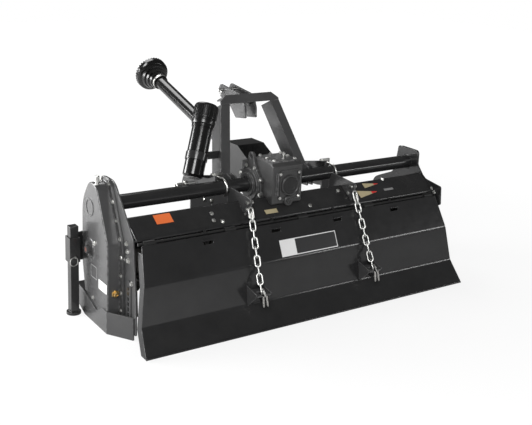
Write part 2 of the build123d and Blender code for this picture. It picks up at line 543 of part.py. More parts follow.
shank_outline = [
    polar(TINE_ROOT_R, -SHANK_HALF_ANGLE), polar(TINE_ROOT_R, SHANK_HALF_ANGLE),
    polar(FLANGE_R + NECK_OVER, SHANK_HALF_ANGLE), *wing_outline(TINE_R - TINE_T)[3::-1],
    polar(FLANGE_R + NECK_OVER, -SHANK_HALF_ANGLE),
]


def tine(x_root, side, degrees):
    """One L-shaped blade: a shank against the flange's side and a wing across its tip."""
    shank = slab_x(shank_outline, min(x_root, x_root + side * TINE_T), max(x_root, x_root + side * TINE_T))
    x_tip = x_root + side * TINE_WIDTH
    wing = slab_x(wing_outline(TINE_R - TINE_T), min(x_root, x_tip), max(x_root, x_tip))
    return Pos(0, *ROTOR) * Rot(degrees, 0, 0) * (shank + wing)


rows = []
for row in range(FLANGE_COUNT):
    x_mid = -flange_span / 2 + row * flange_pitch
    disc = disc_x(x_mid - FLANGE_T / 2, x_mid + FLANGE_T / 2, FLANGE_R, ROTOR) - shaft
    for k in range(TINES_PER_FLANGE):
        side = 1 if k % 2 else -1
        disc += tine(x_mid + side * FLANGE_T / 2, side, (k + row * ROW_TWIST) * tine_pitch)
    rows.append(disc)
put("rotor_tines", Compound(rows))

# ---- rear door ---------------------------------------------------------------------------
DOOR_PROFILE = [(HINGE_Y - 19.0, HINGE_Z - 2.0), (-340.0, 304.0), (-371.0, 119.0), (-455.0, 5.0)]  # y, z outside
DOOR_ROOM = 600.0          # beyond the door, towards the rear
RIB_DEPTH = 44.0           # stiffening rib inside each end of the door
RIB_T = 6.0
RIB_TOP = 432.0
RIB_LOW = 5.0
KNUCKLE_R = 13.0
KNUCKLE_HALF = 30.0
KNUCKLE_COUNT = 5
KNUCKLE_INSET = 44.0       # outer knuckles from the door's ends
NECK_T = 8.0
TAB_COUNT = 4
TAB_FIRST, TAB_PITCH = -565.0, 385.0
TAB_HALF = 8.0
SLOT_WIDE = 26.0           # half width of the slots in the door, one below each hinge tab
SLOT_Z = (428.0, 444.0)
door_top = DOOR_PROFILE[0][1]
door_slope = DOOR_FLARE / (door_top - DOOR_PROFILE[-1][1])
hinge_at = (HINGE_Y, HINGE_Z)


def door_half(z):
    return DOOR_HALF_TOP + (door_top - z) * door_slope


def door_front(inset):
    """The door's outline seen from behind, drawn in by inset at both ends, as a thick slab."""
    half_top, half_low = door_half(door_top) - inset, door_half(0) - inset
    above = door_top + RIB_DEPTH
    return slab_y([(-half_top, above), (half_top, above), (half_top, door_top), (half_low, 0), (-half_low, 0),
                   (-half_top, door_top)], -DOOR_ROOM, 0.0)


wide = DOOR_HALF_BOTTOM + PLATE
panel = slab_x(bent_sheet(DOOR_PROFILE, SHEET), -wide, wide) & door_front(0.0)
for i in range(TAB_COUNT):
    x_mid = TAB_FIRST + i * TAB_PITCH
    panel -= box(x_mid - SLOT_WIDE, x_mid + SLOT_WIDE, -DOOR_ROOM, 0.0, *SLOT_Z)
put("door_panel", panel)
rib_band = slab_x(bent_sheet(DOOR_PROFILE, RIB_DEPTH), -wide, wide)
rib_band &= box(-wide, wide, -DOOR_ROOM, 0.0, RIB_LOW, RIB_TOP)
put("door_end_ribs", (rib_band & (door_front(0.0) - door_front(RIB_T))) - panel)
inside_door = slab_x(DOOR_PROFILE + [(0.0, 0.0), (0.0, door_top)], -wide, wide)
knuckles = None
knuckle_span = DOOR_HALF_TOP - KNUCKLE_INSET
for i in range(KNUCKLE_COUNT):
    x_mid = knuckle_span * (2 * i / (KNUCKLE_COUNT - 1) - 1)
    barrel = disc_x(x_mid - KNUCKLE_HALF, x_mid + KNUCKLE_HALF, KNUCKLE_R, hinge_at)
    barrel += box(x_mid - KNUCKLE_HALF, x_mid + KNUCKLE_HALF, DOOR_PROFILE[0][0], HINGE_Y, door_top - NECK_T,
                  door_top) & inside_door
    barrel -= disc_x(x_mid - KNUCKLE_HALF, x_mid + KNUCKLE_HALF, HINGE_R + FIT, hinge_at)
    knuckles = barrel if knuckles is None else knuckles + barrel
put("door_knuckles", knuckles - panel)
ROD_SPARE = 2.0
TAB_OUTLINE = [(HINGE_Y - HINGE_R, HINGE_Z - 4.0), (HINGE_Y - HINGE_R, HINGE_Z + 4.0), (HINGE_Y, HINGE_Z + 9.0),
               (LIP_Y, LIP_HIGH - SHEET), (LIP_Y, HINGE_Z - 9.0)]  # y, z
tabs = disc_x(-HALF_INNER + ROD_SPARE, HALF_INNER - ROD_SPARE, HINGE_R, hinge_at)
for i in range(TAB_COUNT):
    x_mid = TAB_FIRST + i * TAB_PITCH
    tabs += slab_x(TAB_OUTLINE, x_mid - TAB_HALF, x_mid + TAB_HALF)
put("door_hinge", tabs)
DOOR_LUG_X = {"left": -350.0, "right": 340.0}
LUG_HALF = 38.0            # lug cheeks from the middle of the lug
LUG_T = 6.0
LUG_SIDE = [(-352.0, 216.0), (-446.0, 196.0), (-440.0, 178.0), (-371.0, 112.0)]  # y, z
LUG_PLATE_Z = 190.0        # top of the shelf between the cheeks
SHELF_T = 8.0
SLOT_HALF, SLOT_END = 10.0, -392.0    # the slot the chain hooks into
lugs = []
for x_mid in DOOR_LUG_X.values():
    for side in (-1, 1):
        x0 = x_mid + side * LUG_HALF
        lugs.append(slab_x(LUG_SIDE, min(x0, x0 + side * LUG_T), max(x0, x0 + side * LUG_T)) - inside_door)
    shelf = box(x_mid - LUG_HALF, x_mid + LUG_HALF, LUG_SIDE[1][0], LUG_SIDE[0][0], LUG_PLATE_Z - SHELF_T, LUG_PLATE_Z)
    shelf -= box(x_mid - SLOT_HALF, x_mid + SLOT_HALF, -DOOR_ROOM, SLOT_END, LUG_PLATE_Z - 2 * SHELF_T,
                 LUG_PLATE_Z + SHELF_T)
    lugs.append(shelf - inside_door)
put("door_lugs", Compound(lugs))

# ---- door chains -------------------------------------------------------------------------
LINKS = 10
LINK_IN = 46.0             # inside length of a link
LINK_GAP = 16.0            # inside width of a link
LINK_SLACK = 2.6
PIN_SPARE = 2.0            # shackle pin beyond its legs
CHAIN_END = (-424.0, LUG_PLATE_Z)      # y, z where the chain reaches its lug
wire = 2 * CHAIN_WIRE
link_pitch = LINK_IN - LINK_SLACK
hole_flat, hole_half = (LINK_IN - LINK_GAP) / 2, LINK_GAP / 2
hole_half_end = hole_half * math.tan(math.radians(22.5))
hole_end = LINK_IN / 2
link_hole = face([(hole_end, hole_half_end), (hole_flat + hole_half_end, hole_half),
                  (-hole_flat - hole_half_end, hole_half), (-hole_end, hole_half_end), (-hole_end, -hole_half_end),
                  (-hole_flat - hole_half_end, -hole_half), (hole_flat + hole_half_end, -hole_half),
                  (hole_end, -hole_half_end)])
link_flat = extrude(SlotOverall(LINK_IN + 2 * wire, LINK_GAP + 2 * wire) - link_hole, amount=wire / 2, both=True)


def chain(x_anchor, x_lug):
    """Links laid at right angles in turn, from a shackle on the anchor plate down to the door's lug."""
    anchor = Vector(x_anchor, *ANCHOR)
    along_chain = (Vector(x_lug, *CHAIN_END) - anchor).normalized()
    flat = along_chain.cross(X_AXIS).normalized()
    upright = flat.cross(along_chain)
    links = []
    for i in range(LINKS):
        centre = anchor + along_chain * (LINK_IN / 2 + CHAIN_WIRE + i * link_pitch)
        links.append(Plane(origin=centre, x_dir=along_chain, z_dir=upright if i % 2 else flat) * link_flat)
    # the first link is a shackle: open legs on both sides of the anchor plate and a pin through them
    across = Plane(origin=anchor, x_dir=upright, z_dir=along_chain)
    bow_end = CHAIN_WIRE + LINK_GAP / 2
    room = 2 * LINK_IN
    shackle = links[0] - across * Pos(0, 0, bow_end - room / 2) * Box(room, room, room)
    for side in (-1, 1):
        leg_x = side * (LINK_GAP + wire) / 2
        shackle += across * Pos(leg_x, 0, (bow_end - wire) / 2) * Box(wire, wire, bow_end + wire)
    pin_half = LINK_GAP / 2 + wire + PIN_SPARE
    links[0] = shackle + disc_x(x_anchor - pin_half, x_anchor + pin_half, ANCHOR_PIN_R, ANCHOR)
    return Compound(links)


for name, x_anchor in ANCHOR_X.items():
    put("door_chain_" + name, chain(x_anchor, DOOR_LUG_X[name]))

# ---- driveline ---------------------------------------------------------------------------
YOKE_HALF = 36.0           # outside half width of a yoke's fork, and half width of its ears
EAR_T = 10.0
EAR_W = 36.0
EAR_TIP = 14.0             # ear tip beyond the cross's middle
YOKE_BACK = (31.0, 41.0)   # the fork's cross web, measured from the cross's middle
HUB_START = 38.0
HUB_R = 28.0
HUB_LENGTH = 30.0
TRACTOR_HUB_LENGTH = 60.0
CROSS_R = 8.0
CROSS_HALF = 35.0          # cross's arms from its middle
SHAFT_TUBE_R = 20.0        # telescoping shaft
INNER_GUARD_R, INNER_GUARD_WALL = 31.0, 11.0
OUTER_GUARD_R, OUTER_GUARD_WALL = 37.0, 5.7
SPLINE_R = 17.5            # 35 mm splined bore for the tractor's shaft
CROSS_Y = INPUT_END_Y + HUB_START
hub_end = HUB_START + HUB_LENGTH
pto_dir = Vector(0, math.cos(math.radians(PTO_ANGLE)), math.sin(math.radians(PTO_ANGLE)))
cross_near = Vector(HITCH_X, CROSS_Y, INPUT_Z)
cross_far = cross_near + pto_dir * PTO_LENGTH


def yoke(origin, direction, across, hub_length, play):
    """A forked yoke whose two ears hold the cross at origin; its hub lies along direction."""
    plane = Plane(origin=origin, x_dir=across, z_dir=direction)
    fork = extrude(plane.offset(HUB_START) * Circle(HUB_R), amount=hub_length)
    ear_length = EAR_TIP + YOKE_BACK[1]
    for side in (-1, 1):
        fork += plane * Pos(side * (YOKE_HALF - EAR_T / 2), 0, YOKE_BACK[1] - ear_length / 2) * Box(
            EAR_T, EAR_W, ear_length)
    web = YOKE_BACK[1] - YOKE_BACK[0]
    fork += plane * Pos(0, 0, YOKE_BACK[0] + web / 2) * Box(2 * YOKE_HALF, EAR_W, web)
    reach = across * (2 * YOKE_HALF)
    return fork - rod(tuple(origin - reach), tuple(origin + reach), CROSS_R + play)


def cross(origin, one, other):
    """The cross of a universal joint: two round arms at right angles."""
    arms = None
    for arm in (one, other):
        bar = rod(tuple(origin - arm * CROSS_HALF), tuple(origin + arm * CROSS_HALF), CROSS_R)
        arms = bar if arms is None else arms + bar
    return arms


def along(start, stop, radius):
    """A round bar on the driveline's axis, measured from its near cross."""
    a, b = cross_near + pto_dir * start, cross_near + pto_dir * stop
    return rod(tuple(a), tuple(b), radius)


back, up = Vector(0, -1, 0), Vector(0, 0, 1)
up_far = Vector(0, -pto_dir.Z, pto_dir.Y)
input_bore = rod((HITCH_X, 0, INPUT_Z), (HITCH_X, CROSS_Y, INPUT_Z), INPUT_R)
put("input_yoke", yoke(cross_near, back, up, HUB_LENGTH, 0.0) - input_bore)
put("input_cross", cross(cross_near, up, X_AXIS))
put("inner_yoke", yoke(cross_near, pto_dir, X_AXIS, HUB_LENGTH, FIT))

GUARD_GAP = 10.0           # guard end to yoke hub
INNER_END = 620.0          # end of the inner guard, inside the outer one
OUTER_START = 560.0
SHAFT_SHORT = 180.0        # inner shaft's end to the outer guard's end
GUARD_SOLID = 60.0         # closed end of the outer guard
outer_end = PTO_LENGTH - hub_end
guard_start = hub_end + GUARD_GAP
put("inner_shaft", along(hub_end, outer_end - SHAFT_SHORT, SHAFT_TUBE_R))
inner_bore = along(guard_start, INNER_END, INNER_GUARD_R - INNER_GUARD_WALL)
put("inner_guard", along(guard_start, INNER_END, INNER_GUARD_R) - inner_bore)
outer_bore = along(OUTER_START, outer_end - GUARD_SOLID, OUTER_GUARD_R - OUTER_GUARD_WALL)
put("outer_guard", along(OUTER_START, outer_end, OUTER_GUARD_R) - outer_bore)

BELL_BACK = 32.0           # the bell starts this far behind the guard's end
BELL_LENGTH = 150.0
BELL_R = 106.0              # radius of the bell's mouth
BELL_WALL = 3.0
bell_axis = Plane(origin=cross_near + pto_dir * (outer_end - BELL_BACK), z_dir=pto_dir)
bell = bell_axis * Pos(0, 0, BELL_LENGTH / 2) * Cone(OUTER_GUARD_R, BELL_R, BELL_LENGTH)
bell -= bell_axis * Pos(0, 0, BELL_LENGTH / 2 + BELL_WALL) * Cone(OUTER_GUARD_R, BELL_R, BELL_LENGTH)
put("outer_bell", bell - along(0, outer_end + GUARD_GAP, OUTER_GUARD_R))
put("outer_yoke", yoke(cross_far, pto_dir * -1, X_AXIS, HUB_LENGTH, FIT))
put("tractor_cross", cross(cross_far, up_far, X_AXIS))
tractor_bore = along(PTO_LENGTH + YOKE_BACK[0] - SHEET, PTO_LENGTH + HUB_START + TRACTOR_HUB_LENGTH, SPLINE_R)
put("tractor_yoke", yoke(cross_far, pto_dir, up_far, TRACTOR_HUB_LENGTH, 0.0) - tractor_bore)

# ---- write the parts, centred over the floor ---------------------------------------------
ALL = Compound(list(NODES.values())).bounding_box()
SHIFT = Vector(-(ALL.min.X + ALL.max.X) / 2, -(ALL.min.Y + ALL.max.Y) / 2, -ALL.min.Z)
for node, shape in NODES.items():
    export_step(Pos(*SHIFT) * shape, "parts/" + node + ".step")
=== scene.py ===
"""Looks of a rear-mounted rotary tiller: rounded edges, fasteners, chains, guards, finishes and the studio."""

import json
import math

import bmesh
import bpy
from mathutils import Matrix, Vector

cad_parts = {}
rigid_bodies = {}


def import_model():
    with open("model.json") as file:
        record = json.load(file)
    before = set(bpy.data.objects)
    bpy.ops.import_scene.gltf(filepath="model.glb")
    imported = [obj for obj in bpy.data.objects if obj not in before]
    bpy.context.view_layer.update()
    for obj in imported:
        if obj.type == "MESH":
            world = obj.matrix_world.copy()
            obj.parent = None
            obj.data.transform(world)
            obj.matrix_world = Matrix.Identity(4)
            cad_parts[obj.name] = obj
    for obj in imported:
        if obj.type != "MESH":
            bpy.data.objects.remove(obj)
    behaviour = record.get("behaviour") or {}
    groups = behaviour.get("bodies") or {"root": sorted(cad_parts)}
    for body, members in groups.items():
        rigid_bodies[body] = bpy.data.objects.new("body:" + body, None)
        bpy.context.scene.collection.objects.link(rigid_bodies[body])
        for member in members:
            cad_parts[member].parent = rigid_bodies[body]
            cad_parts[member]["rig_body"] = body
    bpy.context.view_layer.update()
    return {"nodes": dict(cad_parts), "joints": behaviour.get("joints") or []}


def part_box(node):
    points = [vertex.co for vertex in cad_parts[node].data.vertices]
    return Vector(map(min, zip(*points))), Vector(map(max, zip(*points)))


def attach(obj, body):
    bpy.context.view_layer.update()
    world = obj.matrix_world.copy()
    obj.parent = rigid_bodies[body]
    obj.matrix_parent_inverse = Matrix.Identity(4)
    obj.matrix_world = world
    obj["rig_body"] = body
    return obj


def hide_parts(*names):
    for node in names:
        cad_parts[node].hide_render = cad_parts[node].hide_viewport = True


bl_info = {
    "name": "Rotary Tiller Dressing",
    "version": (1, 0, 0),
    "blender": (4, 5, 0),
    "location": "View3D > Sidebar > Tiller",
    "description": "Models the fasteners, chains, guards and finishes of a rotary tiller on its CAD frame",
    "category": "Object",
}

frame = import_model()
NODES = frame["nodes"]

MM = 0.001
TUBE_LOW, TUBE_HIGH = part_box("top_tube")
TUBE_AXIS = (TUBE_LOW + TUBE_HIGH) / 2
X, Y, Z = Vector((1, 0, 0)), Vector((0, 1, 0)), Vector((0, 0, 1))


def at(x, y, z):
    """A place in millimetres: right and forward of the middle of the top tube, and up from the floor."""
    return Vector((TUBE_AXIS.x + x * MM, TUBE_AXIS.y + y * MM, z * MM))


def joint_at(name):
    return Vector(next(j["pos_m"] for j in frame["joints"] if j["name"] == name))


# ---- modelling by hand -------------------------------------------------------------------
def put_down():
    """Leave edit mode and deselect everything."""
    if bpy.context.object and bpy.context.object.mode != "OBJECT":
        bpy.ops.object.mode_set(mode="OBJECT")
    bpy.ops.object.select_all(action="DESELECT")


def take(piece):
    put_down()
    piece.select_set(True)
    bpy.context.view_layer.objects.active = piece
    return piece


def open_mesh(piece):
    take(piece)
    bpy.ops.object.mode_set(mode="EDIT")
    bpy.ops.mesh.select_all(action="DESELECT")


def choose(test, kind="FACE"):
    """Select the faces, edges or corners that pass a test, in edit mode."""
    bpy.ops.mesh.select_all(action="DESELECT")
    bpy.ops.mesh.select_mode(type=kind)
    mesh = bmesh.from_edit_mesh(bpy.context.object.data)
    found = [part for part in {"FACE": mesh.faces, "EDGE": mesh.edges, "VERT": mesh.verts}[kind] if test(part)]
    for part in found:
        part.select_set(True)
    mesh.select_flush_mode()
    bmesh.update_edit_mesh(bpy.context.object.data)
    if not found:
        raise RuntimeError("nothing to select on " + bpy.context.object.name)


def settle(piece):
    """Apply the piece's place, turn and size to its mesh."""
    take(piece)
    bpy.ops.object.transform_apply(location=True, rotation=True, scale=True)
    return piece


def stand(piece, place, towards=Z, turn=0.0):
    """Carry a piece modelled upright at the datum to its place, with its Z axis towards a direction."""
    towards = Vector(towards).normalized()
    piece.matrix_world = (Matrix.Translation(place) @ towards.to_track_quat("Z", "Y").to_matrix().to_4x4()
                          @ Matrix.Rotation(turn, 4, "Z"))
    return settle(piece)


def lay(piece, place, along, face):
    """Carry a piece to its place with its X axis along one direction and its Z axis near another."""
    along = Vector(along).normalized()
    across = Vector(face).cross(along).normalized()
    turn = Matrix((along, across, along.cross(across))).transposed().to_4x4()
    piece.matrix_world = Matrix.Translation(place) @ turn
    return settle(piece)


def block(size_x, size_y, size_z, round_over=0.0, steps=2, centre=(0, 0, 0)):
    """A block in millimetres with rounded edges."""
    put_down()
    bpy.ops.mesh.primitive_cube_add(size=1.0, location=Vector(centre) * MM)
    piece = bpy.context.object
    piece.scale = (size_x * MM, size_y * MM, size_z * MM)
    settle(piece)
    if round_over:
        open_mesh(piece)
        bpy.ops.mesh.select_all(action="SELECT")
        bpy.ops.mesh.bevel(offset=round_over * MM, segments=steps, affect="EDGES")
    put_down()
    return piece


def turned(profile, sides=32):
    """A lathe piece from (height, radius) rows in millimetres, on the Z axis."""
    put_down()
    height, radius = profile[0]
    bpy.ops.mesh.primitive_circle_add(vertices=sides, radius=radius * MM, fill_type="NGON",
                                      location=(0, 0, height * MM))
    piece = settle(bpy.context.object)
    open_mesh(piece)
    bpy.ops.mesh.select_all(action="SELECT")
    for (low, near), (high, far) in zip(profile, profile[1:]):
        bpy.ops.mesh.extrude_region_move(TRANSFORM_OT_translate={"value": (0, 0, (high - low) * MM)})
        bpy.ops.transform.resize(value=(far / near, far / near, 1), center_override=(0, 0, high * MM))
    bpy.ops.mesh.select_all(action="SELECT")
    bpy.ops.mesh.normals_make_consistent(inside=False)
    put_down()
    return piece


def torus(wire, bend, sides, steps):
    put_down()
    bpy.ops.mesh.primitive_torus_add(major_radius=bend * MM, minor_radius=wire * MM, major_segments=steps,
                                     minor_segments=sides)
    return settle(bpy.context.object)


def bent_bar(wire, bend, leg, sides=10, steps=24):
    """A round bar bent to a U: its bend round the Z axis, its legs along Y."""
    piece = torus(wire, bend, sides, steps)
    open_mesh(piece)
    choose(lambda v: v.co.y > 1e-5, "VERT")
    bpy.ops.mesh.delete(type="VERT")
    choose(lambda e: e.is_boundary, "EDGE")
    bpy.ops.mesh.extrude_region_move(TRANSFORM_OT_translate={"value": (0, leg * MM, 0)})
    bpy.ops.mesh.select_all(action="SELECT")
    bpy.ops.mesh.fill_holes(sides=0)
    bpy.ops.mesh.select_all(action="SELECT")
    bpy.ops.mesh.normals_make_consistent(inside=False)
    put_down()
    return piece


def ring_bar(wire, bend, stretch=0.0, sides=10, steps=22):
    """A closed ring of round bar round the Z axis, stretched along X to a link."""
    piece = torus(wire, bend, sides, steps)
    if stretch:
        for side in (-1, 1):
            open_mesh(piece)
            choose(lambda v: v.co.x * side > 1e-6, "VERT")
            bpy.ops.transform.translate(value=(side * stretch * MM, 0, 0))
    put_down()
    return piece


def modify(piece, kind, **values):
    """Add a modifier, set it and apply it."""
    take(piece)
    modifier = piece.modifiers.new(kind.title(), kind)
    for name, value in values.items():
        setattr(modifier, name, value)
    bpy.ops.object.modifier_apply(modifier=modifier.name)
    return piece


def join(pieces, name):
    """Join pieces into the first one."""
    take(pieces[0])
    for piece in pieces:
        piece.select_set(True)
    if len(pieces) > 1:
        bpy.ops.object.join()
    piece = bpy.context.object
    piece.name = name
    return piece


def twin(piece):
    """A copy with its own mesh."""
    copy = piece.copy()
    copy.data = piece.data.copy()
    bpy.context.scene.collection.objects.link(copy)
    return copy


def repeat(model, name, spots):
    """Copies of a model at (place, direction, turn) rows, joined into one piece. The model itself goes."""
    copies = [stand(twin(model), *spot) for spot in spots]
    bpy.data.objects.remove(model)
    return join(copies, name)


def done(piece, name, finish, slot, body, sharp=32):
    """Name, finish and mount a modelled piece."""
    settle(piece)
    piece.name = name
    piece.data.name = name
    piece.data.materials.clear()
    piece.data.materials.append(material(finish))
    piece.data.polygons.foreach_set("material_index", [0] * len(piece.data.polygons))
    take(piece)
    bpy.ops.object.shade_smooth_by_angle(angle=math.radians(sharp))
    modify(piece, "WEIGHTED_NORMAL", keep_sharp=True)
    put_down()
    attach(piece, body)
    return piece


def fitting(name, profile, sides, place, towards, finish, slot, body="frame", **more):
    """A lathe piece, stood at its place, finished and mounted."""
    return done(stand(turned(profile, sides), place, towards), name, finish, slot, body, **more)


# faces of the rounded edges, painted lighter as worn paint and as painted highlight
EDGE = "rub_edge"


def mark_edges(piece):
    """Keep which faces are a rounded edge as an attribute, for lighter edges: worn paint and painted highlight."""
    attribute = piece.data.attributes.new(EDGE, "FLOAT", "FACE")
    attribute.data.foreach_set("value", [float(face.material_index == 1) for face in piece.data.polygons])


def bend(piece, radius, gentlest, sharpest):
    """Round the long bends of a sheet that run along X."""
    open_mesh(piece)
    choose(lambda e: len(e.link_faces) == 2 and abs(e.verts[0].co.x - e.verts[1].co.x) > 1.0
           and gentlest < math.degrees(e.calc_face_angle()) < sharpest, "EDGE")
    bpy.ops.mesh.bevel(offset=radius * MM, segments=5, affect="EDGES")
    put_down()


def round_over(node, width, finish, slot, steps=2, angle=28, bends=None):
    """A copy of a CAD node with merged faces and real rounded edges, shown in the node's stead."""
    source = NODES[node]
    body = source["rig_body"]
    piece = twin(source)
    piece.parent = None
    piece.matrix_world = Matrix.Identity(4)
    for key in list(piece.keys()):
        if key.startswith("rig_"):
            del piece[key]
    open_mesh(piece)
    bpy.ops.mesh.select_all(action="SELECT")
    bpy.ops.mesh.remove_doubles(threshold=0.00002)
    bpy.ops.mesh.dissolve_limited(angle_limit=math.radians(1.0))
    bpy.ops.mesh.select_all(action="SELECT")
    bpy.ops.mesh.normals_make_consistent(inside=False)
    put_down()
    take(piece)
    bpy.ops.mesh.customdata_custom_splitnormals_clear()
    piece.data.materials.clear()
    for _ in ("body", "edges"):
        piece.data.materials.append(material(finish))
    if bends:
        bend(piece, *bends)
    modify(piece, "BEVEL", width=width * MM, segments=steps, limit_method="ANGLE",
           angle_limit=math.radians(angle), use_clamp_overlap=False, material=1)
    mark_edges(piece)
    done(piece, node + "_rounded", finish, slot, body)
    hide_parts(node)
    return piece


# ---- finishes ----------------------------------------------------------------------------
def group(name, scale, amounts, output):
    """A shader node group with a vector, a scale and more numbers in, and one number out."""
    tree = bpy.data.node_groups.new(name, "ShaderNodeTree")
    tree.interface.new_socket(name="Vector", in_out="INPUT", socket_type="NodeSocketVector")
    for label, default in (("Scale", scale), *amounts):
        made = tree.interface.new_socket(name=label, in_out="INPUT", socket_type="NodeSocketFloat")
        made.default_value = default
    tree.interface.new_socket(name=output, in_out="OUTPUT", socket_type="NodeSocketFloat")
    return tree, tree.nodes.new("NodeGroupInput").outputs, tree.nodes.new("NodeGroupOutput").inputs[0]


def wire(tree, kind, links=None, **settings):
    """A node with its settings and its incoming links."""
    node = tree.nodes.new(kind)
    for name, value in settings.items():
        setattr(node, name, value)
    for socket, source in (links or {}).items():
        if isinstance(source, (int, float, tuple, list)):
            node.inputs[socket].default_value = source
        else:
            tree.links.new(source, node.inputs[socket])
    return node


def cloud(tree, given, detail, roughness=0.5, scale=None):
    return wire(tree, "ShaderNodeTexNoise", {"Vector": given["Vector"], "Scale": scale or given["Scale"],
                                             "Detail": detail, "Roughness": roughness}).outputs[0]


def spread(tree, value, low, high, **ends):
    """A value stretched from low..high to 0..1, or to other ends."""
    links = {"Value": value, "From Min": low, "From Max": high}
    links.update({"To " + end.title(): source for end, source in ends.items()})
    return wire(tree, "ShaderNodeMapRange", links).outputs[0]


def calculate(tree, operation, first, second):
    return wire(tree, "ShaderNodeMath", {0: first, 1: second}, operation=operation).outputs[0]


def build_groups():
    """Effects that several finishes share."""
    tree, given, out = group("Mottle", 12.0, (("Low", 0.0), ("High", 1.0)), "Value")
    shade = cloud(tree, given, 5.0, 0.55)
    tree.links.new(spread(tree, shade, 0.3, 0.7, min=given["Low"], max=given["High"]), out)

    tree, given, out = group("Grain", 300.0, (("Broad", 0.3),), "Height")
    fine = cloud(tree, given, 3.0, 0.6)
    slow = calculate(tree, "MULTIPLY", given["Scale"], 0.12)
    broad = calculate(tree, "MULTIPLY", cloud(tree, given, 2.0, scale=slow), given["Broad"])
    tree.links.new(calculate(tree, "ADD", fine, broad), out)

    tree, given, out = group("Dust", 9.0, (("Amount", 0.3),), "Mask")
    axes = wire(tree, "ShaderNodeSeparateXYZ", {0: wire(tree, "ShaderNodeNewGeometry").outputs["Normal"]})
    upward = spread(tree, axes.outputs["Z"], 0.35, 0.95)
    thin = spread(tree, cloud(tree, given, 8.0, 0.7), 0.4, 0.75)
    both = calculate(tree, "MULTIPLY", upward, thin)
    tree.links.new(calculate(tree, "MULTIPLY", both, given["Amount"]), out)

    # lighter rounded edges in patches: partly worn paint, partly painted highlight
    tree, given, out = group("Edge Rub", 60.0, (("Amount", 0.5),), "Mask")
    edge = wire(tree, "ShaderNodeAttribute", attribute_name=EDGE).outputs["Fac"]
    worn_and_lit = spread(tree, cloud(tree, given, 6.0, 0.65), 0.42, 0.62)
    both = calculate(tree, "MULTIPLY", edge, worn_and_lit)
    tree.links.new(calculate(tree, "MULTIPLY", both, given["Amount"]), out)


def placed(tree, name, links):
    return wire(tree, "ShaderNodeGroup", links, node_tree=bpy.data.node_groups[name]).outputs[0]


def blend(tree, share, first, second, out):
    """Two shaders mixed into the surface of an output node."""
    mix = wire(tree, "ShaderNodeMixShader", {0: share, 1: first.outputs[0], 2: second.outputs[0]})
    tree.links.new(mix.outputs[0], out.inputs["Surface"])


# finish: colour property, variation, roughness low and high, metallic, grain scale, grain depth in mm, dust,
# edge rub (worn paint and painted edge highlight), rubbed colour
FINISHES = {
    "frame_paint": ("paint", 0.12, 0.15, 0.21, 0.0, 420.0, 0.012, 0.05, 0.45, (0.10, 0.10, 0.10)),
    # this lighter charcoal is painted light: the frame paint brightened where the left lamp falls
    "case_paint": ("case", 0.10, 0.18, 0.25, 0.0, 420.0, 0.015, 0.05, 0.50, (0.20, 0.20, 0.20)),
    "cast_grey": ("casting", 0.22, 0.30, 0.44, 0.0, 260.0, 0.25, 0.06, 0.45, (0.30, 0.30, 0.30)),
    # near-black finish of the door hinge, its knuckles and the gearbox cap disc: painted shade
    "dark_cast": ("plastic", 0.20, 0.45, 0.60, 0.0, 260.0, 0.20, 0.03, 0.10, (0.05, 0.05, 0.05)),
    "zinc": ("zinc", 0.12, 0.26, 0.42, 1.0, 350.0, 0.05, 0.0, 0.0, (0.8, 0.8, 0.8)),
    "bare_steel": ("steel", 0.20, 0.28, 0.46, 1.0, 300.0, 0.06, 0.0, 0.0, (0.8, 0.8, 0.8)),
    "tine_steel": ("tine", 0.25, 0.38, 0.58, 0.35, 220.0, 0.20, 0.10, 0.35, (0.35, 0.35, 0.34)),
    "black_plastic": ("plastic", 0.10, 0.14, 0.20, 0.0, 500.0, 0.015, 0.03, 0.0, (0.2, 0.2, 0.2)),
    "cap_plastic": ("plastic", 0.10, 0.18, 0.26, 0.0, 500.0, 0.03, 0.03, 0.0, (0.2, 0.2, 0.2)),
    "label_white": ("label", 0.04, 0.34, 0.42, 0.0, 120.0, 0.02, 0.0, 0.0, (1, 1, 1)),
    "plug_brown": ("brown", 0.10, 0.40, 0.55, 0.0, 300.0, 0.08, 0.0, 0.0, (1, 1, 1)),
    "brass": ("brass", 0.10, 0.28, 0.40, 1.0, 300.0, 0.04, 0.0, 0.0, (1, 1, 1)),
    "name_plate": ("plate", 0.05, 0.42, 0.50, 0.0, 120.0, 0.02, 0.0, 0.0, (1, 1, 1)),
}
FINISHES.update({"label_" + tint: (tint, 0.05, 0.34, 0.42, 0.0, 120.0, 0.02, 0.0, 0.0, (1, 1, 1))
                 for tint in ("orange", "red", "sand", "grey")})
DUST = (0.20, 0.195, 0.18)
SHEEN = {"frame_paint": 0.45, "case_paint": 0.5, "cast_grey": 0.4, "tine_steel": 0.4}


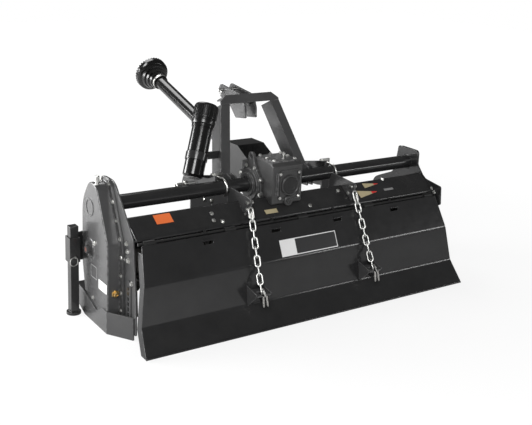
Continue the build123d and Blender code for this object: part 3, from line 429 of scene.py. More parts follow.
def material(finish):
    """The finish's material, made the first time it is asked for."""
    found = bpy.data.materials.get("tiller_" + finish)
    if found:
        return found
    key, vary, smooth, rough, metal, scale, depth, dust, rub, bare = FINISHES[finish]
    colour = getattr(bpy.context.scene.tiller_colours, key)
    made = bpy.data.materials.new("tiller_" + finish)
    made.use_nodes = True
    tree = made.node_tree
    tree.nodes.clear()
    out = wire(tree, "ShaderNodeOutputMaterial")
    shader = wire(tree, "ShaderNodeBsdfPrincipled", {"Metallic": metal, "Specular IOR Level": SHEEN.get(finish, 0.5)})
    tree.links.new(shader.outputs[0], out.inputs["Surface"])
    coords = wire(tree, "ShaderNodeTexCoord").outputs["Object"]
    shade = placed(tree, "Mottle", {"Vector": coords, "Scale": 7.0, "Low": 0.0, "High": 1.0})
    dark = tuple(c * (1 - vary) for c in colour) + (1,)
    light = tuple(min(1.0, c * (1 + vary)) for c in colour) + (1,)
    last = wire(tree, "ShaderNodeMix", {0: shade, 6: dark, 7: light}, data_type="RGBA").outputs[2]
    # a lighter colour on the rounded edges: partly worn paint, partly painted highlight
    for effect, amount, over in (("Dust", dust, DUST), ("Edge Rub", rub, bare)):
        if amount:
            mask = placed(tree, effect, {"Vector": coords, "Amount": amount})
            last = wire(tree, "ShaderNodeMix", {0: mask, 6: last, 7: over + (1,)}, data_type="RGBA").outputs[2]
    tree.links.new(last, shader.inputs["Base Color"])
    gloss = placed(tree, "Mottle", {"Vector": coords, "Scale": 26.0, "Low": smooth, "High": rough})
    tree.links.new(gloss, shader.inputs["Roughness"])
    grain = placed(tree, "Grain", {"Vector": coords, "Scale": scale})
    bump = wire(tree, "ShaderNodeBump", {"Height": grain, "Strength": 0.6, "Distance": depth * MM})
    tree.links.new(bump.outputs[0], shader.inputs["Normal"])
    return made


# ---- sizes and colours that a user would change ------------------------------------------
def length(label, description, default):
    return bpy.props.FloatProperty(name=label, description=description, default=default, min=0.0, unit="LENGTH")


def colour(label, description, default):
    return bpy.props.FloatVectorProperty(name=label, description=description, default=default, size=3, min=0.0,
                                         max=1.0, subtype="COLOR")


class TillerSizes(bpy.types.PropertyGroup):
    plate_edge: length("Plate edge", "Rounding of the sheet and plate edges", 0.0015)
    cast_edge: length("Cast edge", "Rounding of the casting edges", 0.003)
    chain_wire: length("Chain wire", "Radius of the chain's round wire", 0.0045)
    bolt_head: length("Bolt head", "Corner radius of the common bolt heads", 0.008)
    weld: length("Weld bead", "Radius of the weld beads", 0.004)


class TillerColours(bpy.types.PropertyGroup):
    paint: colour("Frame paint", "Satin charcoal of the frame", (0.019, 0.019, 0.0194))
    # painted light: three times the frame charcoal, so the case and left-facing parts read as lit
    case: colour("Case paint", "Satin charcoal of the chain case", (0.060, 0.060, 0.0606))
    casting: colour("Casting", "Grey gearbox casting", (0.042, 0.042, 0.042))
    zinc: colour("Zinc", "Plated clamps, pins and chains", (0.62, 0.62, 0.60))
    steel: colour("Steel", "Bare machined steel", (0.50, 0.49, 0.47))
    tine: colour("Tines", "Hardened tine steel", (0.045, 0.043, 0.040))
    plastic: colour("Plastic", "Black guards and canister", (0.0065, 0.0065, 0.0065))
    label: colour("White label", "Bare white label", (0.74, 0.74, 0.74))
    orange: colour("Orange label", "Bare orange label", (0.75, 0.16, 0.04))
    red: colour("Red label", "Bare red label", (0.60, 0.03, 0.03))
    sand: colour("Sand label", "Bare sand label", (0.42, 0.36, 0.22))
    grey: colour("Grey label", "Bare grey label", (0.22, 0.22, 0.22))
    brown: colour("Plug", "Red-brown plastic plug", (0.16, 0.045, 0.03))
    brass: colour("Brass", "Brass plugs", (0.60, 0.42, 0.18))
    plate: colour("Name plate", "Dark field of the bare name plate", (0.016, 0.016, 0.017))


# ---- fasteners ---------------------------------------------------------------------------
def hex_bolt(corner, washer=True):
    """A hexagon head on a washer, standing on the datum."""
    parts = []
    base = 0.0
    if washer:
        parts.append(turned([(0, corner * 1.30), (corner * 0.16, corner * 1.34), (corner * 0.22, corner * 1.28)], 20))
        base = corner * 0.2
    parts.append(turned([(base, corner), (base + corner * 0.58, corner), (base + corner * 0.70, corner * 0.86),
                         (base + corner * 0.66, corner * 0.55)], 6))
    return join(parts, "bolt")


def hex_nut(corner, stud):
    """A hexagon nut with the end of its stud."""
    nut = turned([(0, corner * 0.92), (corner * 0.1, corner), (corner * 0.72, corner),
                  (corner * 0.84, corner * 0.86)], 6)
    end = turned([(corner * 0.5, stud), (corner * 1.15, stud), (corner * 1.3, stud * 0.8)], 16)
    return join([nut, end], "nut")


def ring_of(count, radius, first=0.0):
    """Places round a circle as (a, b) offsets."""
    return [(radius * math.cos(math.radians(first + 360 * k / count)),
             radius * math.sin(math.radians(first + 360 * k / count))) for k in range(count)]


def edge_of(node, axis, high):
    """Where a CAD node's box ends along an axis, in millimetres from the tube's middle (or from the floor)."""
    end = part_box(node)[1 if high else 0]
    return (end.z if axis == "z" else getattr(end, axis) - getattr(TUBE_AXIS, axis)) / MM


def corner_path(rows, outward, count):
    """Evenly spaced places on an outline of (a, b, corner radius) rows, drawn outward by a distance."""
    path = []
    total = len(rows)
    for i, (a, b, radius) in enumerate(rows):
        corner = Vector((a, b))
        before = (Vector(rows[i - 1][:2]) - corner).normalized()
        after = (Vector(rows[(i + 1) % total][:2]) - corner).normalized()
        half = before.angle(after) / 2
        centre = corner + (before + after).normalized() * (radius / math.sin(half))
        start = corner + before * (radius / math.tan(half)) - centre
        end = corner + after * (radius / math.tan(half)) - centre
        for step in range(9):
            spoke = start.lerp(end, step / 8).normalized() * (radius + outward)
            path.append(centre + spoke)
    lengths = [(path[(i + 1) % len(path)] - p).length for i, p in enumerate(path)]
    pitch = sum(lengths) / count
    spots, travelled, wanted = [], 0.0, 0.0
    for i, p in enumerate(path):
        while wanted < travelled + lengths[i] and len(spots) < count:
            spots.append(p.lerp(path[(i + 1) % len(path)], (wanted - travelled) / lengths[i]))
            wanted += pitch
        travelled += lengths[i]
    return [(p.x, p.y) for p in spots]


class TILLER_OT_plates(bpy.types.Operator):
    """Round the edges of the sheets, plates and frame members"""
    bl_idname = "tiller.plates"
    bl_label = "Plates and sheets"

    def execute(self, context):
        edge = context.scene.tiller_sizes.plate_edge / MM
        for node in ("side_plate_right", "tube_end_flange", "hitch_arms", "canister_bracket",
                     "stand_leg", "stand_bracket", "door_end_ribs"):
            round_over(node, edge, "frame_paint", "frame_paint")
        # these parts get the lighter charcoal, painted light of the left lamp
        for node in ("side_plate_left", "skid_left", "skid_right", "mast_legs", "mast_rail", "top_link_clevis",
                     "hood_brackets", "door_lugs"):
            round_over(node, edge, "case_paint", "frame_paint")
        # the hinge and knuckles sit under the hood lip; their near-black finish is painted shade
        for node in ("door_knuckles", "door_hinge"):
            round_over(node, edge, "dark_cast", "frame_paint")
        round_over("hood_shell", edge, "frame_paint", "frame_paint", bends=(9.0, 15, 80))
        round_over("door_panel", edge, "frame_paint", "frame_paint", bends=(8.0, 6, 60))
        return {"FINISHED"}


class TILLER_OT_castings(bpy.types.Operator):
    """Round the edges of the gearbox, its hubs and the bearing housings"""
    bl_idname = "tiller.castings"
    bl_label = "Castings"

    def execute(self, context):
        edge = context.scene.tiller_sizes.cast_edge / MM
        for node in ("gearbox_housing", "gearbox_hub", "gearbox_rear_cap"):
            round_over(node, edge, "cast_grey", "cast_grey", steps=3)
        round_over("rotor_bearings", edge, "frame_paint", "frame_paint")
        return {"FINISHED"}


CASE_OUTLINE = [  # y, z, corner radius of the chain case's outer face
    (-103.0, 60.0, 45.0), (-104.0, 430.0, 60.0), (26.0, 694.0, 52.0), (108.0, 694.0, 74.0),
    (188.0, 585.0, 180.0), (194.0, 267.0, 120.0), (150.0, 60.0, 60.0),
]
CASE_X = edge_of("chain_case_cover", "x", False) + 6.0      # the cover's flat outer face
FLANGE_X = edge_of("chain_case_flange", "x", False)
LEFT_X, RIGHT_X = edge_of("side_plate_left", "x", False), edge_of("side_plate_right", "x", True)
HITCH_X = (edge_of("top_link_clevis", "x", False) + edge_of("top_link_clevis", "x", True)) / 2


class TILLER_OT_chain_case(bpy.types.Operator):
    """Round the chain case and add its breather, plugs, embossed rings, strap and bare labels"""
    bl_idname = "tiller.chain_case"
    bl_label = "Chain case"

    def execute(self, context):
        # the cover, flange, embossed ring and strap get the lighter charcoal, painted light of the left lamp
        round_over("chain_case_cover", 7.0, "case_paint", "case_paint", steps=4, angle=50)
        round_over("chain_case_flange", 2.0, "case_paint", "frame_paint")
        fitting("case_breather", [(0, 11), (7, 11), (7, 8), (14, 8), (16, 13), (36, 13), (42, 11), (45, 6)], 24,
                at(CASE_X + 14, 40, 690), Z, "zinc", "zinc")
        plug = turned([(-2, 30), (4, 30), (4, 21), (22, 21), (25, 18), (25, 13), (20, 12)], 6)
        stand(plug, at(CASE_X, 93, 358), -X, 0.4)
        done(plug, "case_filler_plug", "cast_grey", "cast_grey", "frame")
        fitting("case_plug_insert", [(14, 12.5), (22, 12.5), (23, 11)], 24, at(CASE_X, 93, 358), -X, "plug_brown",
                "black_plastic")
        fitting("case_embossed_ring", [(-1, 46), (2.6, 44), (3.2, 40), (2.6, 36), (-1, 34)], 48,
                at(CASE_X, 96, 566), -X, "case_paint", "case_paint", sharp=50)
        fitting("case_drain_plug", [(0, 19), (4, 20), (6, 18), (6, 13), (17, 13), (20, 10), (20, 6), (16, 5)], 6,
                at(CASE_X + 40, -103, 192), -Y, "brass", "zinc")
        label = block(92, 47, 1.2, 0.4)
        lay(label, at(CASE_X - 0.3, -52, 215), Y, -X)
        done(label, "case_blank_label", "label_white", "frame_paint", "frame")
        bars = [block(70, 3, 1.0, 0.3, centre=(0, side * 30, 0)) for side in (-1, 1)]
        bars += [block(3, 63, 1.0, 0.3, centre=(side * 34, 0, 0)) for side in (-1, 1)]
        mark = lay(join(bars, "case_blank_frame"), at(CASE_X - 0.2, 50, 255), Y, -X)
        done(mark, "case_blank_frame", "label_grey", "frame_paint", "frame")
        strap = turned([(0, 23), (5, 23), (6, 22)], 32)
        open_mesh(strap)
        choose(lambda v: v.co.x > 1e-6, "VERT")
        bpy.ops.transform.translate(value=(0.165, 0, 0))
        put_down()
        # the strap's slots are near-black blocks on its face: painted shade of the openings
        slots = [block(17, 12, 1.6, 0.5, centre=(18 + 26 * k, 0, 6.2)) for k in range(6)]
        for piece, name, finish in ((strap, "guide_strap", "case_paint"),
                                    (join(slots, "slots"), "strap_slots", "black_plastic")):
            lay(piece, at(LEFT_X, -180, 92), Z, -X)
            done(piece, name, finish, "frame_paint", "frame")
        return {"FINISHED"}


PLATE_IN = 913         # the right side plate's inner face
TUBE_Z, ROTOR_Z = 602, 228
# corner radius, direction, x, y, z
LOOSE_BOLTS = [
    (9.0, -X, LEFT_X, -150, 448), (9.0, -X, LEFT_X, -160, 413), (9.0, -X, LEFT_X, -118, 364),
    (11.0, -X, LEFT_X, -171, 373), (9.0, -X, LEFT_X - 6, -180, 86), (9.0, -X, LEFT_X, -205, 270),
    (9.5, X, RIGHT_X, 87, 522), (9.5, X, RIGHT_X, 213, 441), (9.0, -X, PLATE_IN, -219, 493),
    (9.0, -X, PLATE_IN, -243, 478), (9.0, -X, CASE_X, 39, 403), (7.0, -X, CASE_X, 60, 120),
    (9.0, -Y, -442, -22, 559), (9.0, -Y, -401, -22, 548), (8.0, -X, -309, -160, 524), (8.0, -X, -309, -193, 512),
    (8.0, -X, -309, -205, 540), (8.0, -X, 336, -140, 515), (8.0, -X, 336, -178, 507), (8.0, -X, 336, -190, 536),
]
HOOD_UP = Vector((0.0, -0.539, 0.842))
HOOD_BOLTS = [(-484, -165, 534), (-493, -200, 512), (-449, -212, 504), (76, -205, 509), (628, -124, 561),
              (300, -150, 544)]


class TILLER_OT_fasteners(bpy.types.Operator):
    """Bolts of the side plates, end flange, gearbox, bearing, clamps and brackets"""
    bl_idname = "tiller.fasteners"
    bl_label = "Fasteners"

    def execute(self, context):
        corner = context.scene.tiller_sizes.bolt_head / MM
        rows = [(size, at(x, y, z), towards) for size, towards, x, y, z in LOOSE_BOLTS]
        rows += [(8.0, at(*place), HOOD_UP) for place in HOOD_BOLTS]
        self.bolts("plate_bolts", rows)
        self.bolts("case_bolts", [(corner, at(FLANGE_X, y, z), -X) for y, z in corner_path(CASE_OUTLINE, 11.5, 19)])
        end_x = edge_of("tube_end_flange", "x", True)
        self.bolts("end_flange_bolts", [(12.0, at(end_x, y, TUBE_Z + z), X) for y in (-56, 56) for z in (-56, 56)])
        self.bolts("bearing_bolts", [(corner, at(end_x, 20 + y, ROTOR_Z + z), X) for y, z in ring_of(6, 62, 30)])
        low, high = edge_of("tube_clamps", "x", False), edge_of("tube_clamps", "x", True)
        clamp = repeat(hex_nut(11.0, 6.0), "clamp_nuts",
                       [(at(x, 70, TUBE_Z + side * 43), Y, 0.2 * side) for x in (low + 9, high - 9)
                        for side in (-1, 1)])
        done(clamp, "clamp_nuts", "zinc", "zinc", "frame")
        top = edge_of("gearbox_housing", "z", True)
        flange_x, boss_x = edge_of("gearbox_housing", "x", False) - 14, edge_of("gearbox_housing", "x", True) - 14
        rows = [(8.5, at(x, y, top), Z) for x in (-120, 6) for y in (-150, -86, -22)] + [(8.5, at(-57, -22, top), Z)]
        rows += [(8.0, at(flange_x, y, TUBE_Z + z), -X) for y, z in ring_of(8, 98, 22.5)]
        rows += [(8.0, at(boss_x, y, TUBE_Z + z), X) for y, z in ring_of(8, 77, 22.5)]
        self.bolts("gearbox_bolts", rows)
        hoop = [(6.0, at(x, -190, z), -Y) for x, z in ((-104, 566), (10, 566), (-104, 690), (10, 690))]
        self.bolts("cap_bolts", hoop)
        return {"FINISHED"}

    @staticmethod
    def bolts(name, rows, body="frame"):
        """Bolt heads at (corner radius, place, direction) rows, as one piece."""
        pieces = [repeat(hex_bolt(size), name, [(place, towards, 0.37 * i) for i, (corner, place, towards)
                                                in enumerate(rows) if corner == size])
                  for size in sorted({row[0] for row in rows})]
        return done(join(pieces, name), name, "zinc", "zinc", body)


class TILLER_OT_gearbox_trim(bpy.types.Operator):
    """Frame, ring, level plug and breather of the gearbox's rear and top"""
    bl_idname = "tiller.gearbox_trim"
    bl_label = "Gearbox trim"

    def execute(self, context):
        rear = edge_of("gearbox_rear_cap", "y", False)
        ribs = [block(9, 8, 152, 2.5, 2, centre=(x, -186, 630)) for x in (-101, 9)]
        ribs += [block(112, 8, 9, 2.5, 2, centre=(-46, -186, z)) for z in (556, 704)]
        hoop = turned([(-10, 52), (2, 52), (4, 50), (4, 46), (2, 44), (-10, 43)], 48)
        stand(hoop, Vector((-46, rear, 629)) * MM, -Y)
        boss = turned([(0, 27), (8, 26), (11, 23)], 32)
        stand(boss, Vector((-52, -186, 548)) * MM, -Y)
        plug = turned([(0, 14), (16, 14), (18, 12), (18, 7), (13, 6)], 6)
        stand(plug, Vector((-52, -186, 548)) * MM, -Y)
        trim = join(ribs + [hoop, boss, plug], "gearbox_trim")
        trim.location = at(0, 0, 0)
        done(trim, "gearbox_trim", "cast_grey", "cast_grey", "frame")
        # the near-black disc inside the ring is the painted shade of the cap's recess
        fitting("gearbox_cap_disc", [(0, 42.5), (1.5, 42), (1.5, 30), (0.8, 29)], 48, at(-46, rear, 629), -Y,
                "dark_cast", "cast_grey")
        fitting("gearbox_breather", [(0, 9), (7, 9), (7, 5), (16, 5), (16, 8), (26, 8), (29, 5)], 20,
                at(-34, -108, edge_of("gearbox_housing", "z", True)), Z, "zinc", "zinc")
        return {"FINISHED"}


# ---- chains ------------------------------------------------------------------------------
CHAIN_LOW = (-424.0, 190.0)       # y, z where the chain reaches its lug
CHAINS = {"left": (-305.0, -350.0), "right": (340.0, 340.0)}      # x at the anchor and at the lug
LINKS, LINK_IN, LINK_GAP, LINK_PITCH = 10, 46.0, 16.0, 43.4
TWIST = 34.0                      # how far the links turn as the chain hangs, in degrees


class TILLER_OT_chains(bpy.types.Operator):
    """Round-wire chains with their shackles, in place of the plain links"""
    bl_idname = "tiller.chains"
    bl_label = "Door chains"

    def execute(self, context):
        thick = context.scene.tiller_sizes.chain_wire / MM
        for name, (x_anchor, x_lug) in CHAINS.items():
            top, low = joint_at("chain_" + name + "_swing"), at(x_lug, *CHAIN_LOW)
            top.x = at(x_anchor, 0, 0).x
            run = (low - top).normalized()
            flat = run.cross(X).normalized()
            upright = flat.cross(run)
            link = ring_bar(thick, LINK_GAP / 2 + thick, (LINK_IN - LINK_GAP) / 2)
            links = []
            for i in range(1, LINKS):
                centre = top + run * ((LINK_IN / 2 + thick + i * LINK_PITCH) * MM)
                turn = Matrix.Rotation(math.radians(TWIST * min(i, 3) / 3), 3, run)
                links.append(lay(twin(link), centre, run, turn @ (upright if i % 2 else flat)))
            bpy.data.objects.remove(link)
            bow = bent_bar(thick, LINK_GAP / 2 + thick, 40.0)
            end = top + run * ((LINK_IN + thick - LINK_GAP / 2 - thick) * MM)
            lay(bow, end, run.cross(flat), flat)
            pin = turned([(-19, 9.5), (-13.5, 9.5), (-13.5, 6), (15, 6), (17, 4.5)], 16)
            stand(pin, top, X)
            eyes = [stand(turned([(-4.6, 8.5), (-4.2, 9.5), (4.2, 9.5), (4.6, 8.5)], 18),
                          top + X * (side * (LINK_GAP / 2 + thick) * MM), X) for side in (-1, 1)]
            chain = join(links + [bow, pin] + eyes, "chain_" + name)
            done(chain, "chain_" + name, "zinc", "zinc", "chain_" + name, sharp=50)
            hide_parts("door_chain_" + name)
        return {"FINISHED"}


# ---- door --------------------------------------------------------------------------------
PANEL_OUT = Vector((0.0, -0.903, 0.430))         # outward from the door's upper panel
TAB_X = [-565.0 + 385.0 * k for k in range(4)]


class TILLER_OT_door_trim(bpy.types.Operator):
    """Bare name plate, tabs, rolled lip and chain hooks of the rear door, and the bare labels of the hood"""
    bl_idname = "tiller.door_trim"
    bl_label = "Door trim and labels"

    def execute(self, context):
        for name, size, x, lift, finish in (("name_plate_rim", (346, 84, 1.6), -2, 0.2, "label_white"),
                                            ("name_plate_field", (250, 75, 1.6), 41.5, 0.9, "name_plate")):
            plate = lay(block(*size, 0.4), at(x, -318, 351) + PANEL_OUT * (lift * MM), X, PANEL_OUT)
            done(plate, name, finish, "frame_paint", "rear_door")
        tabs = [lay(block(58, 9, 7, 1.6), at(x, -276.5, 448), X, PANEL_OUT) for x in TAB_X]
        done(join(tabs, "slot_tabs"), "slot_tabs", "frame_paint", "frame_paint", "rear_door")
        self.lip()
        for name, (anchor, x) in CHAINS.items():
            ring = lay(ring_bar(3.6, 14.0, 6.0), at(x + 4, -440, 199), (0.3, -0.4, -1), (0.8, -0.6, 0))
            done(ring, "hook_ring_" + name, "zinc", "zinc", "rear_door")
            prongs = [stand(turned([(0, 4.4), (4, 5.2), (44, 5.2), (52, 2.4)], 12), at(x + 4 + side * 9, -446, 184),
                            (0.05 * side, -0.25, -1)) for side in (-1, 1)]
            done(join(prongs, "hook_prongs_" + name), "hook_prongs_" + name, "bare_steel", "zinc", "rear_door")
        for name, finish, shape, (x, y, z) in (
                ("hood_label_orange", "label_orange", (88, 56, 1.2), (-740, -153, 543)),
                ("hood_label_sand", "label_sand", (72, 26, 1.2), (-162, -203, 511)),
                ("hood_label_grey", "label_grey", (64, 14, 1.2), (622, -187, 521))):
            label = lay(block(*shape, 0.4), at(x, y, z) + HOOD_UP * (0.4 * MM), X, HOOD_UP)
            done(label, name, finish, "frame_paint", "frame")
        for name, long, high, x, y, z in (("low", 126, 50, 410, -190, 519), ("high", 100, 34, 476, -146, 547)):
            arrow = block(long, high, 1.2, centre=(long / 2, 0, 0))
            tip = block(long * 0.3, high, 2.2, centre=(long * 0.85, 0, 0))
            for piece, part, finish in ((arrow, "field", "label_sand"), (tip, "tip", "label_red")):
                open_mesh(piece)
                choose(lambda v: v.co.x > (long * 0.99) * MM, "VERT")
                bpy.ops.transform.resize(value=(1, 0.05, 1), center_override=(0, 0, 0))
                if part == "tip":
                    choose(lambda v: v.co.x < (long * 0.99) * MM, "VERT")
                    bpy.ops.transform.resize(value=(1, 0.32, 1), center_override=(0, 0, 0))
                lay(piece, at(x, y, z) + HOOD_UP * (0.4 * MM), X, HOOD_UP)
                done(piece, "hood_arrow_" + name + "_" + part, finish, "frame_paint", "frame")
        top = lay(block(84, 20, 1.2, 0.4), at(-104, -96, 744.6), (0.5, -0.86, 0), Z)
        done(top, "gearbox_label", "label_red", "frame_paint", "frame")
        return {"FINISHED"}

    def lip(self):
        """A rolled edge along the door's lower end."""
        low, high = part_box("door_panel")
        wide = high.x - low.x - 0.012
        fitting("door_lip", [(0, 5.5), (wide / MM, 5.5)], 16, low + Vector((0.006, 0.0045, 0.0065)), X,
                "frame_paint", "frame_paint", "rear_door")


# ---- canister ----------------------------------------------------------------------------
class TILLER_OT_canister(bpy.types.Operator):
    """The black document canister with its ribbed cap and collar"""
    bl_idname = "tiller.canister"
    bl_label = "Canister"

    def execute(self, context):
        foot, lid = at(-436.0, 118.0, 636.0), at(-290.0, 232.0, 990.0)
        axis = (lid - foot).normalized()
        body = fitting("canister_body", [(0, 40), (2, 44), (12, 54), (84, 54), (86, 52.6), (134, 52.6), (136, 54),
                                         (262, 54), (264, 58), (278, 58), (280, 54), (284, 54)], 56, foot, axis,
                       "black_plastic", "black_plastic")
        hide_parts("manual_canister")
        collar = turned([(278, 55), (280, 60), (284, 62), (300, 62), (303, 59), (309, 59), (312, 62), (378, 62),
                         (386, 58), (391, 50), (389, 40), (388, 28)], 56)
        rib = block(3.4, 4.6, 62.0, 0.8, 2, centre=(61.6, 0, 345))
        ribs = []
        for k in range(36):
            copy = twin(rib)
            copy.matrix_world = Matrix.Rotation(math.radians(10 * k), 4, "Z")
            ribs.append(settle(copy))
        bpy.data.objects.remove(rib)
        cap = join([collar] + ribs, "canister_lid")
        stand(cap, foot, axis)
        done(cap, "canister_lid", "cap_plastic", "black_plastic", "frame")
        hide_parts("canister_cap")
        return {"FINISHED"}


# ---- driveline ---------------------------------------------------------------------------
NEAR_CROSS = joint_at("driveline_fold")
FAR_CROSS = joint_at("tractor_yoke_fold")
DRIVE = (FAR_CROSS - NEAR_CROSS).normalized()


def drive(distance):
    return NEAR_CROSS + DRIVE * (distance * MM)


class TILLER_OT_driveline(bpy.types.Operator):
    """Serrated bell, collars and clips of the driveline guard"""
    bl_idname = "tiller.driveline"
    bl_label = "Driveline guard"

    def execute(self, context):
        bell = turned([(0, 38), (2, 46), (24, 46), (27, 41), (32, 41), (36, 52), (48, 57), (51, 51), (56, 51),
                       (60, 64), (72, 69), (75, 62), (80, 62), (84, 77), (96, 83), (99, 76), (104, 76), (108, 92),
                       (120, 104), (142, 106), (142, 101), (120, 98), (106, 84), (70, 58), (34, 35)], 72)
        open_mesh(bell)
        choose(lambda f: abs(f.calc_center_median().z - 0.142) < 1e-5
               and int((math.atan2(f.calc_center_median().y, f.calc_center_median().x) / math.tau + 1) * 72 + 0.01)
               % 2 == 0)
        bpy.ops.mesh.extrude_region_move(TRANSFORM_OT_translate={"value": (0, 0, 0.008)})
        put_down()
        stand(bell, drive(1080), DRIVE)
        done(bell, "guard_bell", "black_plastic", "black_plastic", "driveline_outer")
        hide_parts("outer_bell")
        fitting("guard_collar", [(0, 37), (1, 41), (26, 41), (28, 37)], 40, drive(561), DRIVE, "black_plastic",
                "black_plastic", "driveline_outer")
        fitting("guard_rear_cone", [(0, 32), (2, 38), (20, 38), (24, 34), (30, 34), (34, 43), (44, 46), (48, 40),
                                    (52, 40), (56, 50), (66, 53), (66, 49), (40, 34)], 56, drive(142), -DRIVE,
                "black_plastic", "black_plastic", "driveline_inner")
        fitting("guard_clip", [(0, 46.5), (1, 47.5), (13, 47.5), (14, 46.5)], 40, drive(1088), DRIVE, "zinc", "zinc",
                "driveline_outer")
        for pair, (centre, arm, body) in enumerate(((NEAR_CROSS, X, "driveline_inner"), (NEAR_CROSS, Z, "frame"),
                                                    (FAR_CROSS, X, "driveline_outer"),
                                                    (FAR_CROSS, X.cross(DRIVE), "tractor_yoke"))):
            for end, side in enumerate((-1, 1)):
                fitting("cross_cap_" + str(2 * pair + end + 1),
                        [(34.5, 12), (37.5, 12), (38.5, 10.5), (38.5, 7), (37.8, 6)], 20, centre, arm * side,
                        "bare_steel", "zinc", body)
        fitting("yoke_lock_collar", [(70, 30), (72, 36), (84, 36), (86, 33), (92, 33), (94, 30)], 40, FAR_CROSS,
                DRIVE, "cast_grey", "zinc", "tractor_yoke")
        return {"FINISHED"}


FLANGES, TINES, BOLT_CIRCLE = 8, 6, 0.078      # of the rotor


class TILLER_OT_welds(bpy.types.Operator):
    """Weld beads of the tube, mast, arms, skids and rotor flanges, and the tine bolts"""
    bl_idname = "tiller.welds"
    bl_label = "Welds and tine bolts"

    def execute(self, context):
        bead = context.scene.tiller_sizes.weld / MM
        rings = [(x, 37 + bead / 2) for x in (LEFT_X + 8, RIGHT_X - 8)]
        rings += [(edge_of("gearbox_hub", "x", False), 37 + bead / 2),
                  (edge_of("gearbox_housing", "x", True), 37 + bead / 2)]
        beads = [stand(ring_bar(bead, radius, steps=40), at(x, 0, TUBE_Z), X) for x, radius in rings]
        lines = [((x, *start), (x, *end)) for x in (LEFT_X + 9, RIGHT_X - 9)
                 for start, end in (((-228, 495), (-122, 564)), ((-118, 564), (100, 471)))]
        lines.append(((RIGHT_X, -225, 8), (RIGHT_X, 140, 8)))
        for x in (-305, 340):
            for side in (-4, 4):
                lines.append(((x + side, -204, 511), (x + side, -124, 561)))
        for start, end in lines:
            run = at(*end) - at(*start)
            beads.append(stand(turned([(0, bead * 0.7), (bead, bead), (run.length / MM - bead, bead),
                                       (run.length / MM, bead * 0.7)], 10), at(*start), run))
        done(join(beads, "weld_beads"), "weld_beads", "frame_paint", "frame_paint", "frame", sharp=60)
        low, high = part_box("rotor_tines")
        axis = joint_at("rotor_spin")
        half = (high.x - low.x) / 2 - 0.067
        heads = []
        for row in range(FLANGES):
            x = (low.x + high.x) / 2 - half + row * 2 * half / (FLANGES - 1)
            for k in range(TINES):
                side = 1 if k % 2 else -1
                for offset in (-7, 7):
                    a = math.radians((k + row * 3 / 8) * 360 / TINES + offset)
                    place = axis + BOLT_CIRCLE * Vector((0, math.cos(a), math.sin(a)))
                    heads.append((Vector((x - side * 0.005, place.y, place.z)), X * -side, 0.3 * k))
        model = turned([(0, 8.5), (5, 8.5), (6, 7)], 6)
        done(repeat(model, "tine_bolts", heads), "tine_bolts", "zinc", "zinc", "rotor")
        return {"FINISHED"}


class TILLER_OT_pins(bpy.types.Operator):
    """The top link pin and the lynch rings of the hitch pins"""
    bl_idname = "tiller.pins"
    bl_label = "Hitch pins"

    def execute(self, context):
        pin = turned([(-66, 7), (-64, 9.4), (44, 9.4), (44, 15), (50, 15), (52, 13)], 28)
        stand(pin, at(HITCH_X, 468, 1005), X)
        ring = ring_bar(2.0, 15.0, sides=8)
        lay(ring, at(HITCH_X - 57, 468, 992), Y, X)
        done(join([pin, ring], "top_link_pin"), "top_link_pin", "zinc", "zinc", "frame")
        low, high = edge_of("lower_hitch_pins", "x", False), edge_of("lower_hitch_pins", "x", True)
        rings = [lay(ring_bar(2.4, 21.0, sides=8), at(x, 300, 538), Y, X) for x in (low + 10, high - 10)]
        done(join(rings, "lynch_rings"), "lynch_rings", "zinc", "zinc", "frame")
        x, y = edge_of("stand_leg", "x", False) + 36, 185
        parts = [stand(turned([(-34, 4), (-33, 5), (33, 5), (34, 4)], 14), at(x, y, 300), -Y),
                 lay(ring_bar(2.2, 19.0, 4.0, sides=8), at(x - 8, y - 31, 280), (0.1, 0.12, -1), Y)]
        done(join(parts, "stand_pin"), "stand_pin", "zinc", "zinc", "parking_stand")
        return {"FINISHED"}


PLAIN_NODES = {
    "top_tube": "frame_paint", "input_shaft": "bare_steel", "input_shield": "black_plastic",
    "lower_hitch_pins": "zinc", "tube_clamps": "zinc", "rotor_shaft": "frame_paint", "rotor_tines": "tine_steel",
    "input_yoke": "cast_grey", "input_cross": "bare_steel", "inner_yoke": "cast_grey", "inner_shaft": "bare_steel",
    "inner_guard": "black_plastic", "outer_guard": "black_plastic", "outer_yoke": "cast_grey",
    "tractor_cross": "bare_steel", "tractor_yoke": "cast_grey",
}


class TILLER_OT_finishes(bpy.types.Operator):
    """Give every remaining CAD part its finish"""
    bl_idname = "tiller.finishes"
    bl_label = "Finishes"

    def execute(self, context):
        for node, finish in PLAIN_NODES.items():
            slots = NODES[node].data.materials
            slots.clear()
            slots.append(material(finish))
        return {"FINISHED"}


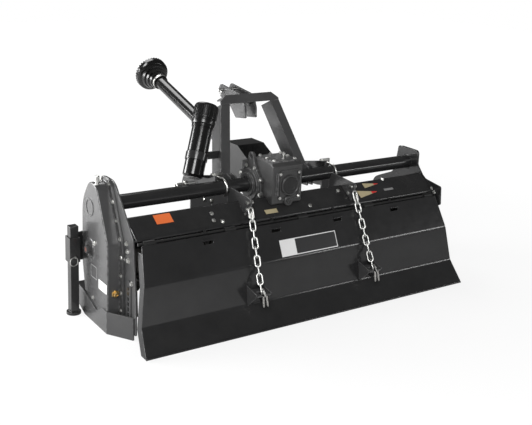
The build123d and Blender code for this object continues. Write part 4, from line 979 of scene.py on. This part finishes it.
# ---- studio ------------------------------------------------------------------------------
class TILLER_OT_studio(bpy.types.Operator):
    """Pale floor, soft light and the camera"""
    bl_idname = "tiller.studio"
    bl_label = "Studio"

    def execute(self, context):
        self.floor()
        self.light()
        self.camera()
        context.scene.view_settings.view_transform = "Standard"
        return {"FINISHED"}

    def floor(self):
        put_down()
        bpy.ops.mesh.primitive_plane_add(size=24.0, location=(0, 0, -0.0005))
        floor = bpy.context.object
        floor.name = "floor"
        made = bpy.data.materials.new("studio_floor")
        made.use_nodes = True
        tree = made.node_tree
        tree.nodes.clear()
        out = wire(tree, "ShaderNodeOutputMaterial")
        matt = wire(tree, "ShaderNodeBsdfDiffuse", {"Color": (0.80, 0.80, 0.80, 1)})
        glow = wire(tree, "ShaderNodeEmission", {"Color": (1, 1, 1, 1), "Strength": 1.06})
        path = wire(tree, "ShaderNodeLightPath")
        spot = wire(tree, "ShaderNodeTexCoord").outputs["Object"]
        far = wire(tree, "ShaderNodeVectorMath", {0: spot}, operation="LENGTH")
        fade = spread(tree, far.outputs["Value"], 1.5, 4.0, min=0.78, max=1.0)
        share = calculate(tree, "MULTIPLY", path.outputs["Is Camera Ray"], fade)
        blend(tree, share, matt, glow, out)
        floor.data.materials.append(made)

    def light(self):
        scene = bpy.context.scene
        world = bpy.data.worlds.new("studio")
        scene.world = world
        world.use_nodes = True
        tree = world.node_tree
        tree.nodes.clear()
        out = wire(tree, "ShaderNodeOutputWorld")
        soft = wire(tree, "ShaderNodeBackground", {"Color": (1, 1, 1, 1), "Strength": 0.10})
        white = wire(tree, "ShaderNodeBackground", {"Color": (1, 1, 1, 1), "Strength": 1.0})
        path = wire(tree, "ShaderNodeLightPath")
        blend(tree, path.outputs["Is Camera Ray"], soft, white, out)
        # name, place, aim, width, height, power
        lamps = (("left_softbox", (-4.2, 2.4, 1.2), (-0.8, 0, 0.4), 3.4, 2.0, 420.0),
                 ("fill_softbox", (-3.4, -5.2, 3.8), (0, 0, 0.4), 2.4, 2.4, 300.0),
                 ("top_softbox", (0.0, 2.6, 4.6), (0, 0, 0.3), 2.6, 2.6, 120.0),
                 ("right_strip", (3.3, -3.7, 1.05), (0.3, -0.3, 0.35), 2.4, 0.22, 26.0))
        for name, place, aim, wide, high, power in lamps:
            data = bpy.data.lights.new(name, "AREA")
            data.shape, data.size, data.size_y, data.energy = "RECTANGLE", wide, high, power
            lamp = bpy.data.objects.new(name, data)
            scene.collection.objects.link(lamp)
            lamp.location = place
            lamp.rotation_euler = (Vector(aim) - Vector(place)).to_track_quat("-Z", "Y").to_euler()

    def camera(self):
        data = bpy.data.cameras.new("camera")
        data.lens, data.sensor_width = 61.4, 36.0
        data.shift_x, data.shift_y = 0.0090, -0.1068
        camera = bpy.data.objects.new("camera", data)
        bpy.context.scene.collection.objects.link(camera)
        yaw, pitch, roll = math.radians(-33.9), math.radians(14.2), math.radians(2.279)
        ahead = Vector((-math.sin(yaw) * math.cos(pitch), math.cos(yaw) * math.cos(pitch), -math.sin(pitch)))
        right = ahead.cross(Z).normalized()
        up = right.cross(ahead)
        level, tilted = (right * math.cos(roll) + up * math.sin(roll),
                         up * math.cos(roll) - right * math.sin(roll))
        turn = Matrix((level, tilted, -ahead)).transposed().to_4x4()
        camera.matrix_world = Matrix.Translation(TUBE_AXIS + Vector((-2.6228, -3.7554, 1.2861))) @ turn
        bpy.context.scene.camera = camera


class TILLER_PT_panel(bpy.types.Panel):
    """Lists the tiller's sizes, colours and pieces"""
    bl_idname = "TILLER_PT_panel"
    bl_label = "Tiller"
    bl_space_type = "VIEW_3D"
    bl_region_type = "UI"
    bl_category = "Tiller"

    def draw(self, context):
        for settings in (context.scene.tiller_sizes, context.scene.tiller_colours):
            box = self.layout.box()
            for name in settings.__annotations__:
                box.prop(settings, name)
        for step in STEPS:
            self.layout.operator(step.bl_idname)


STEPS = (TILLER_OT_plates, TILLER_OT_castings, TILLER_OT_chain_case, TILLER_OT_fasteners, TILLER_OT_gearbox_trim,
         TILLER_OT_chains, TILLER_OT_door_trim, TILLER_OT_canister, TILLER_OT_driveline, TILLER_OT_welds,
         TILLER_OT_pins, TILLER_OT_finishes, TILLER_OT_studio)
CLASSES = (TillerSizes, TillerColours) + STEPS + (TILLER_PT_panel,)


def register():
    for each in CLASSES:
        bpy.utils.register_class(each)
    bpy.types.Scene.tiller_sizes = bpy.props.PointerProperty(type=TillerSizes)
    bpy.types.Scene.tiller_colours = bpy.props.PointerProperty(type=TillerColours)


def unregister():
    del bpy.types.Scene.tiller_colours
    del bpy.types.Scene.tiller_sizes
    for each in reversed(CLASSES):
        bpy.utils.unregister_class(each)


def main():
    register()
    build_groups()
    for step in STEPS:
        area, name = step.bl_idname.split(".")
        getattr(getattr(bpy.ops, area), name)()


if __name__ == "__main__":
    main()
